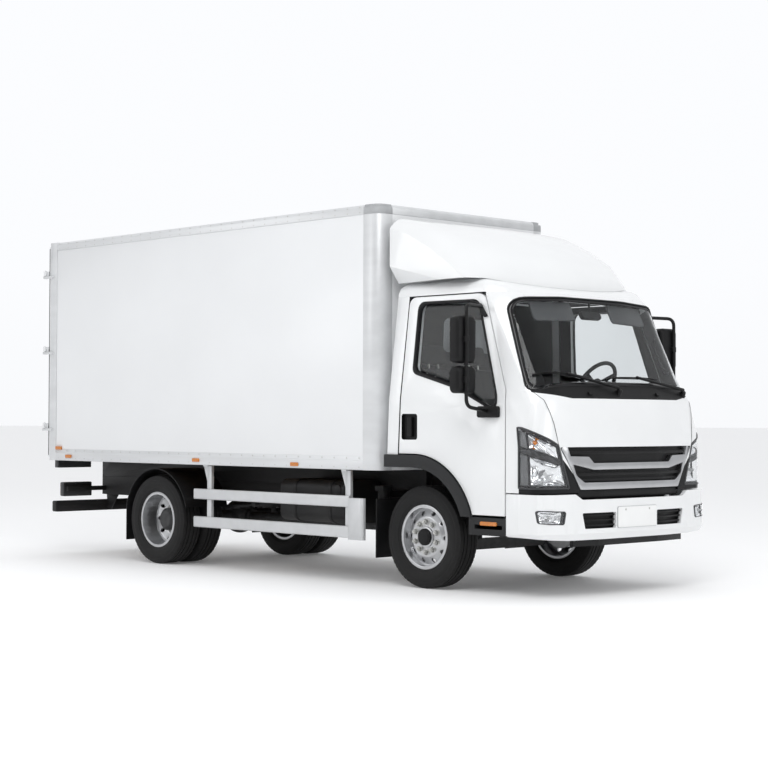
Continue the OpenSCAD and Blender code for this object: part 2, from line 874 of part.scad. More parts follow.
// one side profile at a distance y from the centre line, drawn in x and z
function deflector_profile(y, inset) =
    let (edge = max(0, abs(y) - deflector_half + 135) / 135, drop = 85 * edge * edge + inset)
    let (bow = 240 * pow(abs(y) / (deflector_half - 35), 2.2) + inset)
    let (nose = 750 - bow, seat = roof_z + seat_fit)
    [[nose, seat - 0.29 * max(0, nose - 560)], [nose - 15, 2285 - drop / 2], [nose - 140, 2437 - drop],
        [375 - bow * 0.9, 2569 - drop], [70 - bow * 0.6, deflector_z - 50 - drop],
        [deflector_back, deflector_z - drop], [deflector_back, seat], [min(560, nose - 20), seat]];

// loft through profiles at the given distances across
module deflector_loft(stations, inset) {
    n = len(deflector_profile(0, 0));
    last = len(stations) - 1;
    points = [for (y = stations) for (p = deflector_profile(y, inset)) [p.x, y, p.y]];
    sides = [for (s = [0:last - 1]) for (i = [0:n - 1])
        [s * n + i, s * n + (i + 1) % n, (s + 1) * n + (i + 1) % n, (s + 1) * n + i]];
    ends = [[for (i = [n - 1:-1:0]) i], [for (i = [0:n - 1]) last * n + i]];
    polyhedron(points, concat(sides, ends));
}

module roof_deflector() {
    half = [for (inset = [635, 385, 215, 135, 85, 40, 15, 0]) deflector_half - inset];
    stations = concat([for (i = [len(half) - 1:-1:0]) -half[i]], [0], half);
    inner = concat([for (i = [5:-1:0]) -half[i]], [0], [for (i = [0:5]) half[i]]);
    color("white") from_front_axle() difference() {
        deflector_loft(stations, 0);
        translate([-20, 0, -1]) deflector_loft(inner, 18);
    }
}

// Cab inside

module arch_flares() {
    foot = 550 - axle_z;
    outline = concat(wheel_arc(arch_out, asin(foot / arch_out), 90),
        [[2 - cab_back, arch_out], [2 - cab_back, arch_in]], wheel_arc(arch_in, 90, asin(foot / arch_in)));
    color("black") from_front_axle() both_sides() {
        along_y(cab_half_w - 30, cab_half_w + 14) translate([0, axle_z]) polygon(outline);
        step();
    }
}

// step under the door, with the pin on which the door's lower corner turns
module step() {
    difference() {
        block([545, cab_half_w - 300, 426], [bumper_back - seat_fit, cab_half_w - 3, 550]);
        block([600, cab_half_w - 240, 470], [860, cab_half_w + 10, 500]);
    }
    translate([door_front - hinge_inset, cab_half_w - hinge_inset, 545]) cylinder(h = 40, r = door_pin_r);
}

module cab_floor() {
    back = panel_t - cab_back + 78 * 528 / (roof_z - panel_t - 405) + seat_fit;
    // columns: ahead of the front axle, height of the underside
    floor_line = [[back, floor_z], [430, floor_z], [560, 575], [1050, 575]];
    sheet = concat(floor_line, [for (i = [3:-1:0]) floor_line[i] + [i > 1 ? 12 : 0, floor_t]]);
    color("gray") from_front_axle() {
        both_sides() along_y(400, cab_half_w - door_t - 12) polygon(sheet);
        along_y(-410, 410) translate([430, floor_z]) square([710, floor_t]);
        along_y(-401, 401) translate([back, floor_z]) square([440 - back, floor_t]);
        both_sides() {
            along_y(400, 412) polygon([[440, floor_z - 10], [560, 575], [1050, 575], [1140, floor_z + floor_t],
                [440, floor_z + floor_t]]);
            difference() {
                along_y(230, 296) union() {
                    translate([pivot_x, pivot_z]) circle(48);
                    translate([pivot_x - 48, pivot_z]) square([88, 310]);
                }
                along_y(220, 300) translate([pivot_x, pivot_z]) circle(pivot_r + pin_fit);
            }
        }
    }
}

module dashboard() {
    profile = [[760, 1060, 40], [1250, 1060, 10], [1250, 1375, 10], [1000, 1430, 300], [740, 1390, 50],
        [700, 1250, 60]];
    color("gray") from_front_axle() {
        intersection() {
            along_y(90 - cab_half_w, cab_half_w - 90) polygon(rounded(profile));
            cab_form(side = door_t + 14, front = panel_t + 2, top = panel_t, back = panel_t);
        }
        along_y(driver_y - 180, driver_y + 180)
            polygon(rounded([[735, 1380, 10], [860, 1400, 10], [860, 1490, 40], [720, 1470, 30]]));
        block([800, -300, floor_z + floor_t], [1060, 300, 1062]);
    }
}

module steering_wheel() {
    color("black") from_front_axle() translate([590, driver_y, 1500]) rotate([0, -58, 0]) {
        rotate_extrude() translate([195, 0]) circle(15);
        translate([0, 0, -40]) cylinder(h = 50, r = 55);
        translate([0, 0, -141.3]) cylinder(h = 110, r = 28);
        for (turn = [0, 120, 240]) rotate([0, 0, turn]) block([-190, -14, -8], [0, 14, 8]);
    }
}

// base and back between two edges, with a headrest on its stalk
module seat(y0, y1) {
    foot = floor_z + floor_t;
    middle = (y0 + y1) / 2;
    head = min(140, (y1 - y0) / 2 - 20);
    stalk = head - 80 > 10 ? head - 80 : head;
    along_y(y0, y1) polygon(rounded([[-120, foot, 0], [330, foot, 0], [380, 1100, 50], [330, 1130, 50],
        [-60, 1090, 40], [-160, 1640, 34], [-235, 1640, 32], [-200, 1060, 80]]));
    along_y(middle - head, middle + head)
        polygon(rounded([[-155, 1645, 0], [-165, 1820, 34], [-240, 1820, 34], [-235, 1645, 0]]));
    along_y(middle - stalk, middle + stalk) polygon([[-170, 1600], [-180, 1700], [-220, 1700], [-215, 1600]]);
}

module seats() {
    // columns: right edge, left edge
    passenger = [170 - cab_half_w, 600 - cab_half_w];
    driver = [driver_y - 260, driver_y + 260];
    middle = [passenger[1] + 10, driver[0] - 60];
    color("gray") from_front_axle() translate([60, 0, 0])
        for (place = [driver, middle, passenger]) seat(place[0], place[1]);
}

// Cab doors

module door_panel() {
    difference() {
        intersection() {
            cab_form();
            along_y(0, cab_reach) door_outline(0);
        }
        cab_form(side = door_t, front = -100, top = -100, back = -100);
        along_y(0, cab_reach) window_outline(0);
        along_y(cab_half_w - handle_depth, cab_reach)
            polygon(rounded([[-127, 1088, 20], [34, 1088, 20], [34, 1277, 20], [-127, 1277, 20]]));
        translate([door_front - hinge_inset, cab_half_w - hinge_inset, door_low - 1])
            cylinder(h = 31, r = door_pin_r + pin_fit);
    }
}

module door_glass() {
    intersection() {
        difference() {
            cab_form(side = 22);
            cab_form(side = 28, front = -100, top = -100, back = -100);
        }
        along_y(0, cab_reach) window_outline(seat_fit);
    }
}

// two heads on a bent tube, with the door's pull
module mirror_set() {
    // columns: lower edge, upper edge
    heads = [[1417, 1604], [1626, 1954]];
    tube_r = 13;
    low_bend = [690, mirror_y, 1345];
    high_bend = [690, mirror_y, 2030];
    for (head = heads)
        along_x(650, 735) polygon(rounded([[mirror_y - 68, head[0], 40], [mirror_y + 122, head[0], 40],
            [mirror_y + 122, head[1], 40], [mirror_y - 68, head[1], 40]]));
    rod(low_bend, high_bend, tube_r);
    rod(high_bend, [640, cab_half_w - 35, 1975], tube_r);
    rod(low_bend, [740, cab_half_w + 25, 1305], tube_r);
    for (bend = [low_bend, high_bend]) translate(bend) sphere(tube_r);
    block([650, cab_half_w, 1285], [845, cab_half_w + 30, 1325]);
    block([600, cab_half_w - 47, 1950], [665, cab_half_w - 20, 2000]);
    block([-70, cab_half_w - handle_depth, 1110], [-30, cab_half_w - 2, 1255]);
}

module door_left() {
    color("white") from_front_axle() door_panel();
}

module door_right() {
    color("white") from_front_axle() right_side() door_panel();
}

module door_glass_left() {
    color("lightgray") from_front_axle() door_glass();
}

module door_glass_right() {
    color("lightgray") from_front_axle() right_side() door_glass();
}

module mirror_left() {
    color("black") from_front_axle() mirror_set();
}

module mirror_right() {
    color("black") from_front_axle() right_side() mirror_set();
}

// Steering and wheels

module knuckle() {
    translate([0, 0, axle_z]) {
        difference() {
            union() {
                for (z = [-88, 48]) {
                    translate([0, kingpin_y, z]) cylinder(h = 38, r = 40);
                    block([-40, kingpin_y, z], [40, kingpin_y + 60, z + 38]);
                }
                block([-steer_arm, kingpin_y - 15, -88], [0, kingpin_y + 15, -64]);
                translate([-steer_arm, kingpin_y, -88]) cylinder(h = 24, r = 18);
            }
            translate([0, kingpin_y, -100]) cylinder(h = 200, r = kingpin_r + pin_fit);
        }
        block([-45, kingpin_y + 46, -88], [45, kingpin_y + 66, 86]);
        along_y(kingpin_y + 60, front_wheel_y + 67) circle(30);
        translate([-steer_arm, kingpin_y, -116]) cylinder(h = 30, r = 10);
    }
}

module knuckle_left() {
    color("dimgray") from_front_axle() knuckle();
}

module knuckle_right() {
    color("dimgray") from_front_axle() right_side() knuckle();
}

module tie_rod() {
    color("dimgray") from_front_axle() translate([-steer_arm, 0, axle_z - 102]) difference() {
        union() {
            along_y(-kingpin_y, kingpin_y) circle(9);
            both_sides() translate([0, kingpin_y, -10]) cylinder(h = 20, r = 20);
        }
        translate([0, kingpin_y, -20]) cylinder(h = 40, r = 10 + pin_fit);
        translate([0, -kingpin_y, -20]) cylinder(h = 40, r = 12);
    }
}

// tyre section about its own middle plane
module tyre_section() {
    seat = rim_r - 14 + seat_fit;
    w = tyre_w / 2;
    half = [[seat, 69, 0], [rim_r + 3, 69, 0], [rim_r + 30, w - 8, 20], [tyre_r - 66, w, 30],
        [tyre_r - 22, w - 4, 15], [tyre_r, w - 24, 15]];
    polygon(rounded(concat(half, [for (i = [len(half) - 1:-1:0]) [half[i].x, -half[i].y, half[i].z]])));
}

module rim_section() {
    seat = rim_r - 14;
    polygon([[seat - 8, -84], [rim_r, -84], [rim_r, -72], [seat, -69], [seat, 69], [rim_r, 72], [rim_r, 84],
        [seat - 8, 84]]);
}

module hand_hole_ring(low, high) {
    for (i = [0:hand_holes - 1]) rotate([0, 360 * i / hand_holes, 0]) translate([178, 0, 0])
        along_y(low, high) circle(17);
}

module front_tyre() {
    translate([0, front_wheel_y, axle_z]) turned() tyre_section();
}

module front_rim() {
    seat = rim_r - 14;
    translate([0, front_wheel_y, axle_z]) difference() {
        turned() {
            rim_section();
            polygon(rounded([[70, 46, 0], [140, 46, 20], [198, 8, 20], [seat - 4, 8, 0], [seat - 4, 22, 0],
                [203, 22, 20], [146, 60, 20], [70, 60, 0]]));
            polygon([[30 + seat_fit, -45], [75, -45], [75, -40], [155, -40], [155, 15], [80, 40], [75, 72],
                [30 + seat_fit, 72]]);
            polygon([[0, 72], [62, 72], [62, 88], [48, 98], [0, 98]]);
        }
        hand_hole_ring(-5, 100);
    }
}

module rear_tyres() {
    for (offset_y = [-pair_spacing / 2, pair_spacing / 2])
        translate([0, rear_pair_y + offset_y, axle_z]) turned() tyre_section();
}

module rear_rims() {
    seat = rim_r - 14;
    disc = [[70, 0, 0], [150, 0, 20], [200, 34, 20], [seat - 2, 36, 0], [seat - 2, 50, 0], [196, 50, 20],
        [146, 13, 20], [70, 13, 0]];
    translate([0, rear_pair_y, axle_z]) difference() {
        union() {
            for (side = [-1, 1]) {
                turned() translate([0, side * pair_spacing / 2]) rim_section();
                turned() polygon(rounded([for (p = disc) [p.x, side * p.y, p.z]]));
            }
            turned() polygon([[40 + seat_fit, -165], [185, -165], [185, -60], [155, -20], [95, -10], [95, 100],
                [70, 125], [0, 125], [0, 66], [40 + seat_fit, 66]]);
        }
        hand_hole_ring(-80, 100);
    }
}

module tyre_front_left() {
    color("black") from_front_axle() front_tyre();
}

module tyre_front_right() {
    color("black") from_front_axle() right_side() front_tyre();
}

module rim_front_left() {
    color("silver") from_front_axle() front_rim();
}

module rim_front_right() {
    color("silver") from_front_axle() right_side() front_rim();
}

module tyres_rear_left() {
    color("black") from_front_axle() translate([rear_axle, 0, 0]) rear_tyres();
}

module tyres_rear_right() {
    color("black") from_front_axle() translate([rear_axle, 0, 0]) right_side() rear_tyres();
}

module rims_rear_left() {
    color("silver") from_front_axle() translate([rear_axle, 0, 0]) rear_rims();
}

module rims_rear_right() {
    color("silver") from_front_axle() translate([rear_axle, 0, 0]) right_side() rear_rims();
}

frame_rails();
crossmembers();
front_axle();
rear_axle();
leaf_springs();
engine();
fuel_tank();
battery_box();
silencer();
filter_can();
side_guards();
underrun_bar();
tail_lamps();
mudguards();
tow_eye();
box_floor();
box_walls();
box_front_wall();
box_roof();
box_rails();
box_posts();
corner_caps();
rear_frame();
marker_lamps();
rear_door_left();
rear_door_right();
cab_floor();
cab_back_wall();
cab_roof();
cab_pillars();
cab_front();
cab_glass();
cowl();
grille();
grille_frame();
front_lamps();
bumper();
bumper_inserts();
roof_deflector();
arch_flares();
dashboard();
steering_wheel();
seats();
door_left();
door_right();
door_glass_left();
door_glass_right();
mirror_left();
mirror_right();
knuckle_left();
knuckle_right();
tie_rod();
tyre_front_left();
tyre_front_right();
rim_front_left();
rim_front_right();
tyres_rear_left();
tyres_rear_right();
rims_rear_left();
rims_rear_right();
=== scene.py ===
"""Dresses the light box truck: finishes, lamps, tyres, glass edges, seats and small fittings."""
import json
import math

import bmesh
import bpy
from mathutils import Matrix, Vector

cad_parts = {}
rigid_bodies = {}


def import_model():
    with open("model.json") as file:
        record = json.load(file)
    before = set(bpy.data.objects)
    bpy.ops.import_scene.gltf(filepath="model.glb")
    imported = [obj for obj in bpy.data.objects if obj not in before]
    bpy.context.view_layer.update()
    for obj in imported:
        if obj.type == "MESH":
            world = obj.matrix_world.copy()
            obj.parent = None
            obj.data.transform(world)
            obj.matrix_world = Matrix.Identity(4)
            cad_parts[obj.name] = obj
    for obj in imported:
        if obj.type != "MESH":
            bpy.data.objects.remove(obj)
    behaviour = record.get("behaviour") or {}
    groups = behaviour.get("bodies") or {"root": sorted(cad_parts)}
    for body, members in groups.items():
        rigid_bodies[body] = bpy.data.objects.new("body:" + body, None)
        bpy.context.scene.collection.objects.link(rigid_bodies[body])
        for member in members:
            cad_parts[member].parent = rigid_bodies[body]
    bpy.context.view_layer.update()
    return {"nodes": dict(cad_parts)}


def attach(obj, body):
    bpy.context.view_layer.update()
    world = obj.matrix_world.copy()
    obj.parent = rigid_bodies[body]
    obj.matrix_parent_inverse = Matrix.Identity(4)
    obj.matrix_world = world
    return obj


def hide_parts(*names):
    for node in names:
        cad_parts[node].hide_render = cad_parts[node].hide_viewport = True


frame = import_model()
NODES = frame["nodes"]

# Sizes repeated from the part's source, in metres
FRONT_AXLE = 1.746
REAR_AXLE = FRONT_AXLE - 3.11
AXLE_Z = 0.376
NOSE = FRONT_AXLE + 1.268
BUMPER_NOSE = FRONT_AXLE + 1.305
COWL_Z = 1.39
SLOPE_Z = 1.05
SLOPE = math.tan(math.radians(6))
SCREEN_LEAN = math.radians(25.6)
SCREEN_NOSE = NOSE - 0.036
BELT_Z = 1.38
CAB_HALF = 0.94
CAB_BACK = FRONT_AXLE - 0.3
FLANK_LEAN = 0.072
NOSE_FLAT = 0.337
BUMPER_HALF = 0.946
BUMPER_FLAT = 0.336
SCREEN_FLAT = 0.344
SCREEN_HALF_LOW = 0.885
SCREEN_HALF_HIGH = 0.826
SCREEN_LOW = 0.1
SCREEN_HIGH = 0.805
ROOF_Z = 2.245
BOX_HALF = 0.955
BOX_LOW = 0.855
BOX_TOP = 2.85
BOX_FRONT = FRONT_AXLE - 0.365
BOX_REAR = FRONT_AXLE - 4.7
REAR_DOOR_FACE = FRONT_AXLE - 4.746
SIDES = {"left": 1, "right": -1}

# Corners of the bowed nose, columns: start of the bend along the flank, its width, bow of the face, radius
NOSE_CORNER = (0.215, 0.198, 0.04, 0.25)
SCREEN_CORNER = (0.215, 0.191, 0.04, 0.25)
BUMPER_CORNER = (0.215, 0.205, 0.04, 0.25)
# the photograph's squarer corner, full at the lower height and gone at the upper one
SQUARE_CORNER = (0.11, 0.085, 0.05, 0.09)
SQUARE_FULL_Z = 1.12
SQUARE_NONE_Z = 1.6
# where it starts across the front and ends along the flank, and how deep under the skin it reaches
SQUARE_START = 0.655
SQUARE_END = -0.33
SQUARE_FULL_DEPTH = 0.09
SQUARE_NONE_DEPTH = 0.25


# Finishes

DUST = (0.30, 0.28, 0.25, 1)
DUST_LOW = 0.1
DUST_HIGH = 0.9
PATCH_STOPS = (0.3, 0.7)
GLOSS_SHIFT = 0.15
GRAIN_DEPTH = 0.001
RIB_PITCH = 0.006
RIB_DEPTH = 0.001
RIB_STRENGTH = 0.8
THREAD_PITCH = 0.003
THREAD_DEPTH = 0.0008
# half a wave of the wave texture at scale one
HALF_WAVE = 0.15708


def fill(tree, node, inputs):
    """Gives each named input of a node a value or another node's output."""
    for name, value in inputs.items():
        socket = node.inputs[name.replace("_", " ")]
        if isinstance(value, bpy.types.NodeSocket):
            tree.links.new(value, socket)
        else:
            socket.default_value = value


def add(tree, kind, settings=None, **inputs):
    """New node with its settings and inputs."""
    made = tree.nodes.new(f"ShaderNode{kind}")
    for name, value in (settings or {}).items():
        setattr(made, name, value)
    fill(tree, made, inputs)
    return made


def product(tree, first, second):
    """Output that multiplies two others."""
    made = add(tree, "Math", {"operation": "MULTIPLY"})
    tree.links.new(first, made.inputs[0])
    tree.links.new(second, made.inputs[1])
    return made.outputs["Value"]


def waves(tree, axis, pitch):
    """Straight waves across one axis, half a wave to each pitch."""
    place = add(tree, "TexCoord").outputs["Object"]
    wave = add(tree, "TexWave", {"bands_direction": axis}, Vector=place, Scale=HALF_WAVE / pitch)
    return wave.outputs["Fac"]


def emboss(tree, height, depth, strength):
    """Raises a finish by a pattern of heights."""
    relief = add(tree, "Bump", Height=height, Distance=depth, Strength=strength)
    fill(tree, tree.nodes["Principled BSDF"], {"Normal": relief.outputs["Normal"]})


def material(name, colour, rough, patch, spread, grain=0, bump=0.0, metal=0.0, stretch=(1, 1, 1), dust=0.0,
             **sockets):
    """Finish in real size: patches shift the colour and the gloss, grain gives the bump, dust gathers low."""
    made = bpy.data.materials.new(name)
    made.use_nodes = True
    tree = made.node_tree
    place = add(tree, "TexCoord").outputs["Object"]
    pulled = add(tree, "Mapping", Vector=place, Scale=stretch).outputs["Vector"]
    patches = add(tree, "TexNoise", Vector=pulled, Scale=patch, Detail=5.0).outputs["Fac"]
    ramp = add(tree, "ValToRGB", Fac=patches)
    for stop, position, shift in zip(ramp.color_ramp.elements, PATCH_STOPS, (-spread, spread)):
        stop.position = position
        stop.color = (*[min(1.0, c * (1 + shift)) for c in colour], 1)
    shade = ramp.outputs["Color"]
    if dust:
        height = add(tree, "SeparateXYZ", Vector=place).outputs["Z"]
        fading = add(tree, "MapRange", Value=height, From_Min=DUST_LOW, From_Max=DUST_HIGH)
        fill(tree, fading, {"To Min": dust, "To Max": 0.0})
        cover = product(tree, fading.outputs["Result"], patches)
        shade = add(tree, "Mix", {"data_type": "RGBA"}, Factor=cover, A=shade, B=DUST).outputs["Result"]
    rougher = min(1.0, rough * (1 + GLOSS_SHIFT))
    gloss = add(tree, "MapRange", Value=patches, To_Min=rough * (1 - GLOSS_SHIFT), To_Max=rougher)
    looks = {"Metallic": metal, "Base Color": shade, "Roughness": gloss.outputs["Result"], **sockets}
    fill(tree, tree.nodes["Principled BSDF"], looks)
    if bump:
        grains = add(tree, "TexNoise", Vector=pulled, Scale=grain, Detail=2.0)
        emboss(tree, grains.outputs["Fac"], GRAIN_DEPTH, bump)
    return made


def lamp_glass(name, colour, axis, clear, spread):
    """Lamp lens with moulded ribs across one axis."""
    made = material(name, colour, 0.16, 40, spread, Transmission_Weight=clear, Coat_Weight=0.6)
    emboss(made.node_tree, waves(made.node_tree, axis, RIB_PITCH), RIB_DEPTH, RIB_STRENGTH)
    return made


def woven(made):
    """Adds a plain weave of two crossing threads to a finish."""
    tree = made.node_tree
    crossing = product(tree, waves(tree, "Y", THREAD_PITCH), waves(tree, "DIAGONAL", THREAD_PITCH))
    emboss(tree, crossing, THREAD_DEPTH, 1.0)
    return made


# columns: name, colour, roughness, patches, spread of their colour, grain, its bump; then what is special
PAINT = material("white_paint", (0.80, 0.81, 0.815), 0.3, 3, 0.012, 700, 0.03, Coat_Weight=0.7,
                 Coat_Roughness=0.06)
PANEL = material("box_panel", (0.79, 0.80, 0.81), 0.4, 1.2, 0.018, 60, 0.05, Coat_Weight=0.25,
                 Coat_Roughness=0.15)
ALLOY = material("alloy", (0.66, 0.67, 0.68), 0.4, 9, 0.06, 220, 0.12, metal=0.25, stretch=(0.1, 1, 1))
SILVER = material("silver_paint", (0.62, 0.63, 0.64), 0.42, 9, 0.05, 500, 0.05, metal=0.35, dust=0.05)
BLACK = material("black_plastic", (0.006, 0.006, 0.0065), 0.45, 7, 0.15, 900, 0.25, Specular_IOR_Level=0.22)
GLOSS = material("gloss_black", (0.006, 0.006, 0.007), 0.12, 9, 0.1, 900, 0.02, Specular_IOR_Level=0.35)
GREY = material("grey_plastic", (0.013, 0.0135, 0.0145), 0.52, 6, 0.1, 800, 0.3, Specular_IOR_Level=0.35)
CAP = material("cap_plastic", (0.40, 0.41, 0.42), 0.5, 6, 0.07, 800, 0.3)
CHASSIS = material("chassis_black", (0.012, 0.012, 0.013), 0.5, 5, 0.2, 260, 0.2, dust=0.06,
                   Specular_IOR_Level=0.3)
CAST = material("cast_metal", (0.05, 0.051, 0.053), 0.6, 18, 0.25, 300, 0.5, metal=0.4, dust=0.08)
RUBBER = material("rubber", (0.006, 0.006, 0.0065), 0.7, 14, 0.25, 500, 0.4, dust=0.03,
                  Specular_IOR_Level=0.3)
SEAL = material("seal_rubber", (0.010, 0.010, 0.011), 0.6, 20, 0.2, 700, 0.2, Specular_IOR_Level=0.3)
WHEEL = material("wheel_silver", (0.52, 0.525, 0.535), 0.3, 12, 0.05, 900, 0.08, metal=1.0, dust=0.02,
                 Coat_Weight=0.1)
SATIN = material("satin_chrome", (0.48, 0.485, 0.495), 0.3, 10, 0.04, 600, 0.03, metal=1.0)
ZINC = material("zinc_fastener", (0.55, 0.55, 0.53), 0.38, 60, 0.12, 800, 0.1, metal=0.9)
GLASS = material("tinted_glass", (0.84, 0.86, 0.865), 0.01, 2, 0.02, Transmission_Weight=1.0, IOR=1.08,
                 Coat_Weight=0.3, Coat_Roughness=0.01)
LENS = material("clear_lens", (0.97, 0.975, 0.98), 0.01, 20, 0.01, Transmission_Weight=1.0, IOR=1.06,
                Coat_Weight=0.5, Coat_Roughness=0.02)
AMBER = lamp_glass("amber_lens", (0.85, 0.26, 0.015), "X", 0.35, 0.08)
RED = lamp_glass("red_lens", (0.55, 0.012, 0.012), "Y", 0.3, 0.1)
OPAL = lamp_glass("opal_lens", (0.78, 0.79, 0.79), "Y", 0.3, 0.05)
REFLECTOR = material("reflector", (0.78, 0.79, 0.80), 0.14, 30, 0.04, 120, 0.02, metal=1.0)
BEZEL = material("lamp_bezel", (0.035, 0.036, 0.039), 0.35, 12, 0.1, 600, 0.1)
LAMP_GREY = material("lamp_grey", (0.16, 0.163, 0.168), 0.4, 12, 0.1, 600, 0.1, metal=0.3)
DASH = material("dash_plastic", (0.022, 0.023, 0.025), 0.68, 6, 0.08, 650, 0.5)
LINING = material("cab_lining", (0.09, 0.092, 0.096), 0.8, 8, 0.06, 500, 0.4)
FABRIC = woven(material("seat_fabric", (0.030, 0.031, 0.034), 0.88, 90, 0.25, Sheen_Weight=0.2))
PLYWOOD = material("floor_plywood", (0.30, 0.19, 0.10), 0.6, 4, 0.3, 120, 0.3, stretch=(0.15, 2, 2))
MIRROR = material("mirror_glass", (0.86, 0.88, 0.89), 0.03, 5, 0.02, metal=1.0)
ENAMEL = material("white_enamel", (0.84, 0.845, 0.84), 0.34, 8, 0.02, 300, 0.05, Coat_Weight=0.4)
FLOOR = material("studio_floor", (0.95, 0.95, 0.95), 0.8, 0.6, 0.01, 30, 0.02, Emission_Strength=0.08)


# Mesh tools

# edges sharper than these angles are rounded, on pieces and on nodes
PIECE_ANGLE = 35.0
NODE_ANGLE = 32.0


def grid(bm, rows, closed_u=False, closed_v=False):
    """Quads over rows of points; u runs from row to row, v along a row."""
    verts = [[bm.verts.new(p) for p in row] for row in rows]
    count_u = len(rows) if closed_u else len(rows) - 1
    count_v = len(rows[0]) if closed_v else len(rows[0]) - 1
    for i in range(count_u):
        for j in range(count_v):
            a, b = verts[i], verts[(i + 1) % len(rows)]
            k = (j + 1) % len(rows[0])
            bm.faces.new((a[j], b[j], b[k], a[k]))
    return verts


def prism(bm, outline, place, low, high):
    """Solid between two levels of an outline; place turns outline and level into points."""
    ends = [[bm.verts.new(place(u, v, w)) for u, v in outline] for w in (low, high)]
    count = len(outline)
    for i in range(count):
        k = (i + 1) % count
        bm.faces.new((ends[0][i], ends[0][k], ends[1][k], ends[1][i]))
    bm.faces.new(ends[0][::-1])
    bm.faces.new(ends[1])


def box(bm, low, high):
    """Block between two opposite corners."""
    (x0, y0, z0), (x1, y1, z1) = low, high
    prism(bm, [(x0, y0), (x1, y0), (x1, y1), (x0, y1)], lambda u, v, w: (u, v, w), z0, z1)


def tube(bm, path, radius, sides, closed=False, flat=1.0):
    """Round or flattened bar along a path."""
    points = [Vector(p) for p in path]
    count = len(points)
    rows = []
    up = None
    for i, p in enumerate(points):
        before = points[i - 1] if closed or i else p
        after = points[(i + 1) % count] if closed or i < count - 1 else p
        ahead = (after - before).normalized()
        if up is None:
            up = ahead.orthogonal().normalized()
            if abs(ahead.z) < 0.9:
                up = (Vector((0, 0, 1)) - ahead * ahead.z).normalized()
        up = (up - ahead * up.dot(ahead)).normalized()
        out = ahead.cross(up)
        turns = [2 * math.pi * k / sides for k in range(sides)]
        rows.append([p + up * radius * math.cos(t) + out * radius * flat * math.sin(t) for t in turns])
    verts = grid(bm, rows, closed_u=closed, closed_v=True)
    if not closed:
        bm.faces.new(verts[0])
        bm.faces.new(verts[-1][::-1])


def spun(bm, centre, axis, profile, sides):
    """Profile of distance along an axis and radius, turned about the axis."""
    ahead = Vector(axis).normalized()
    up = ahead.orthogonal().normalized()
    out = ahead.cross(up)
    rows = []
    for k in range(sides):
        turn = 2 * math.pi * k / sides
        spoke = up * math.cos(turn) + out * math.sin(turn)
        rows.append([Vector(centre) + ahead * along + spoke * radius for along, radius in profile])
    grid(bm, rows, closed_u=True)


def nut(bm, centre, axis, across, height):
    """Hexagon nut on a flange, with the end of its stud."""
    flange = [(-0.002, across * 0.74), (0.002, across * 0.74), (0.004, across * 0.6)]
    hexagon = [(0, across * 0.57), (height * 0.86, across * 0.57), (height, across * 0.49), (height, 0)]
    tip = height * 1.36
    stud = [(height, across * 0.3), (height * 1.3, across * 0.3), (tip, across * 0.24), (tip, 0)]
    for profile, sides in ((flange, 18), (hexagon, 6), (stud, 12)):
        spun(bm, centre, axis, profile, sides)


def dome(bm, centre, axis, radius, height):
    """Rivet or screw head."""
    profile = [(0, radius), (height * 0.55, radius * 0.85), (height * 0.9, radius * 0.5), (height, 0)]
    spun(bm, centre, axis, profile, 10)


def smooth(mesh):
    """Shades a mesh smoothly."""
    mesh.polygons.foreach_set("use_smooth", [True] * len(mesh.polygons))


def soften(made, width, angle, harden=False):
    """Rounds the edges of an object that are sharper than an angle."""
    edge = made.modifiers.new("edge", "BEVEL")
    edge.width = width
    edge.segments = 2
    edge.limit_method = "ANGLE"
    edge.angle_limit = math.radians(angle)
    edge.harden_normals = harden


def piece(bm, name, body, finish, slot, replaced=(), angle=38.0, thick=0.0, bevel=0.0):
    """Turns the collected faces into a piece that rides on a body."""
    bmesh.ops.remove_doubles(bm, verts=bm.verts, dist=0.00002)
    bmesh.ops.recalc_face_normals(bm, faces=bm.faces)
    mesh = bpy.data.meshes.new(name)
    bm.to_mesh(mesh)
    bm.free()
    smooth(mesh)
    mesh.set_sharp_from_angle(angle=math.radians(angle))
    mesh.materials.append(finish)
    made = bpy.data.objects.new(name, mesh)
    bpy.context.collection.objects.link(made)
    if thick:
        wall = made.modifiers.new("wall", "SOLIDIFY")
        wall.thickness = thick
        wall.offset = 0.0
    if bevel:
        soften(made, bevel, PIECE_ANGLE)
    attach(made, body)
    if replaced:
        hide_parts(*replaced)
    return made


def sheet_piece(rows, *looks, closed=False, **options):
    """Piece made of one sheet of points, which may close on itself along its rows."""
    bm = bmesh.new()
    grid(bm, rows, closed_v=closed)
    return piece(bm, *looks, **options)


def rounded(table, steps=6):
    """Outline with rounded corners from rows of x, y and radius."""
    points = []
    count = len(table)
    for i, (x, y, radius) in enumerate(table):
        b = Vector((x, y))
        if not radius:
            points.append(tuple(b))
            continue
        u = (Vector(table[i - 1][:2]) - b).normalized()
        v = (Vector(table[(i + 1) % count][:2]) - b).normalized()
        half = u.angle(v) / 2
        centre = b + (u + v).normalized() * radius / math.sin(half)
        start = b + u * radius / math.tan(half) - centre
        end = b + v * radius / math.tan(half) - centre
        sweep = start.angle_signed(end)
        for k in range(steps + 1):
            turn = -sweep * k / steps
            points.append((centre.x + start.x * math.cos(turn) - start.y * math.sin(turn),
                           centre.y + start.x * math.sin(turn) + start.y * math.cos(turn)))
    return points


def divided(outline, longest, closed=True):
    """Outline with extra points so that no edge is long."""
    points = []
    count = len(outline)
    for i in range(count if closed else count - 1):
        a, b = Vector(outline[i]), Vector(outline[(i + 1) % count])
        parts = max(1, math.ceil((b - a).length / longest))
        points += [tuple(a.lerp(b, k / parts)) for k in range(parts)]
    if not closed:
        points.append(tuple(outline[-1]))
    return points


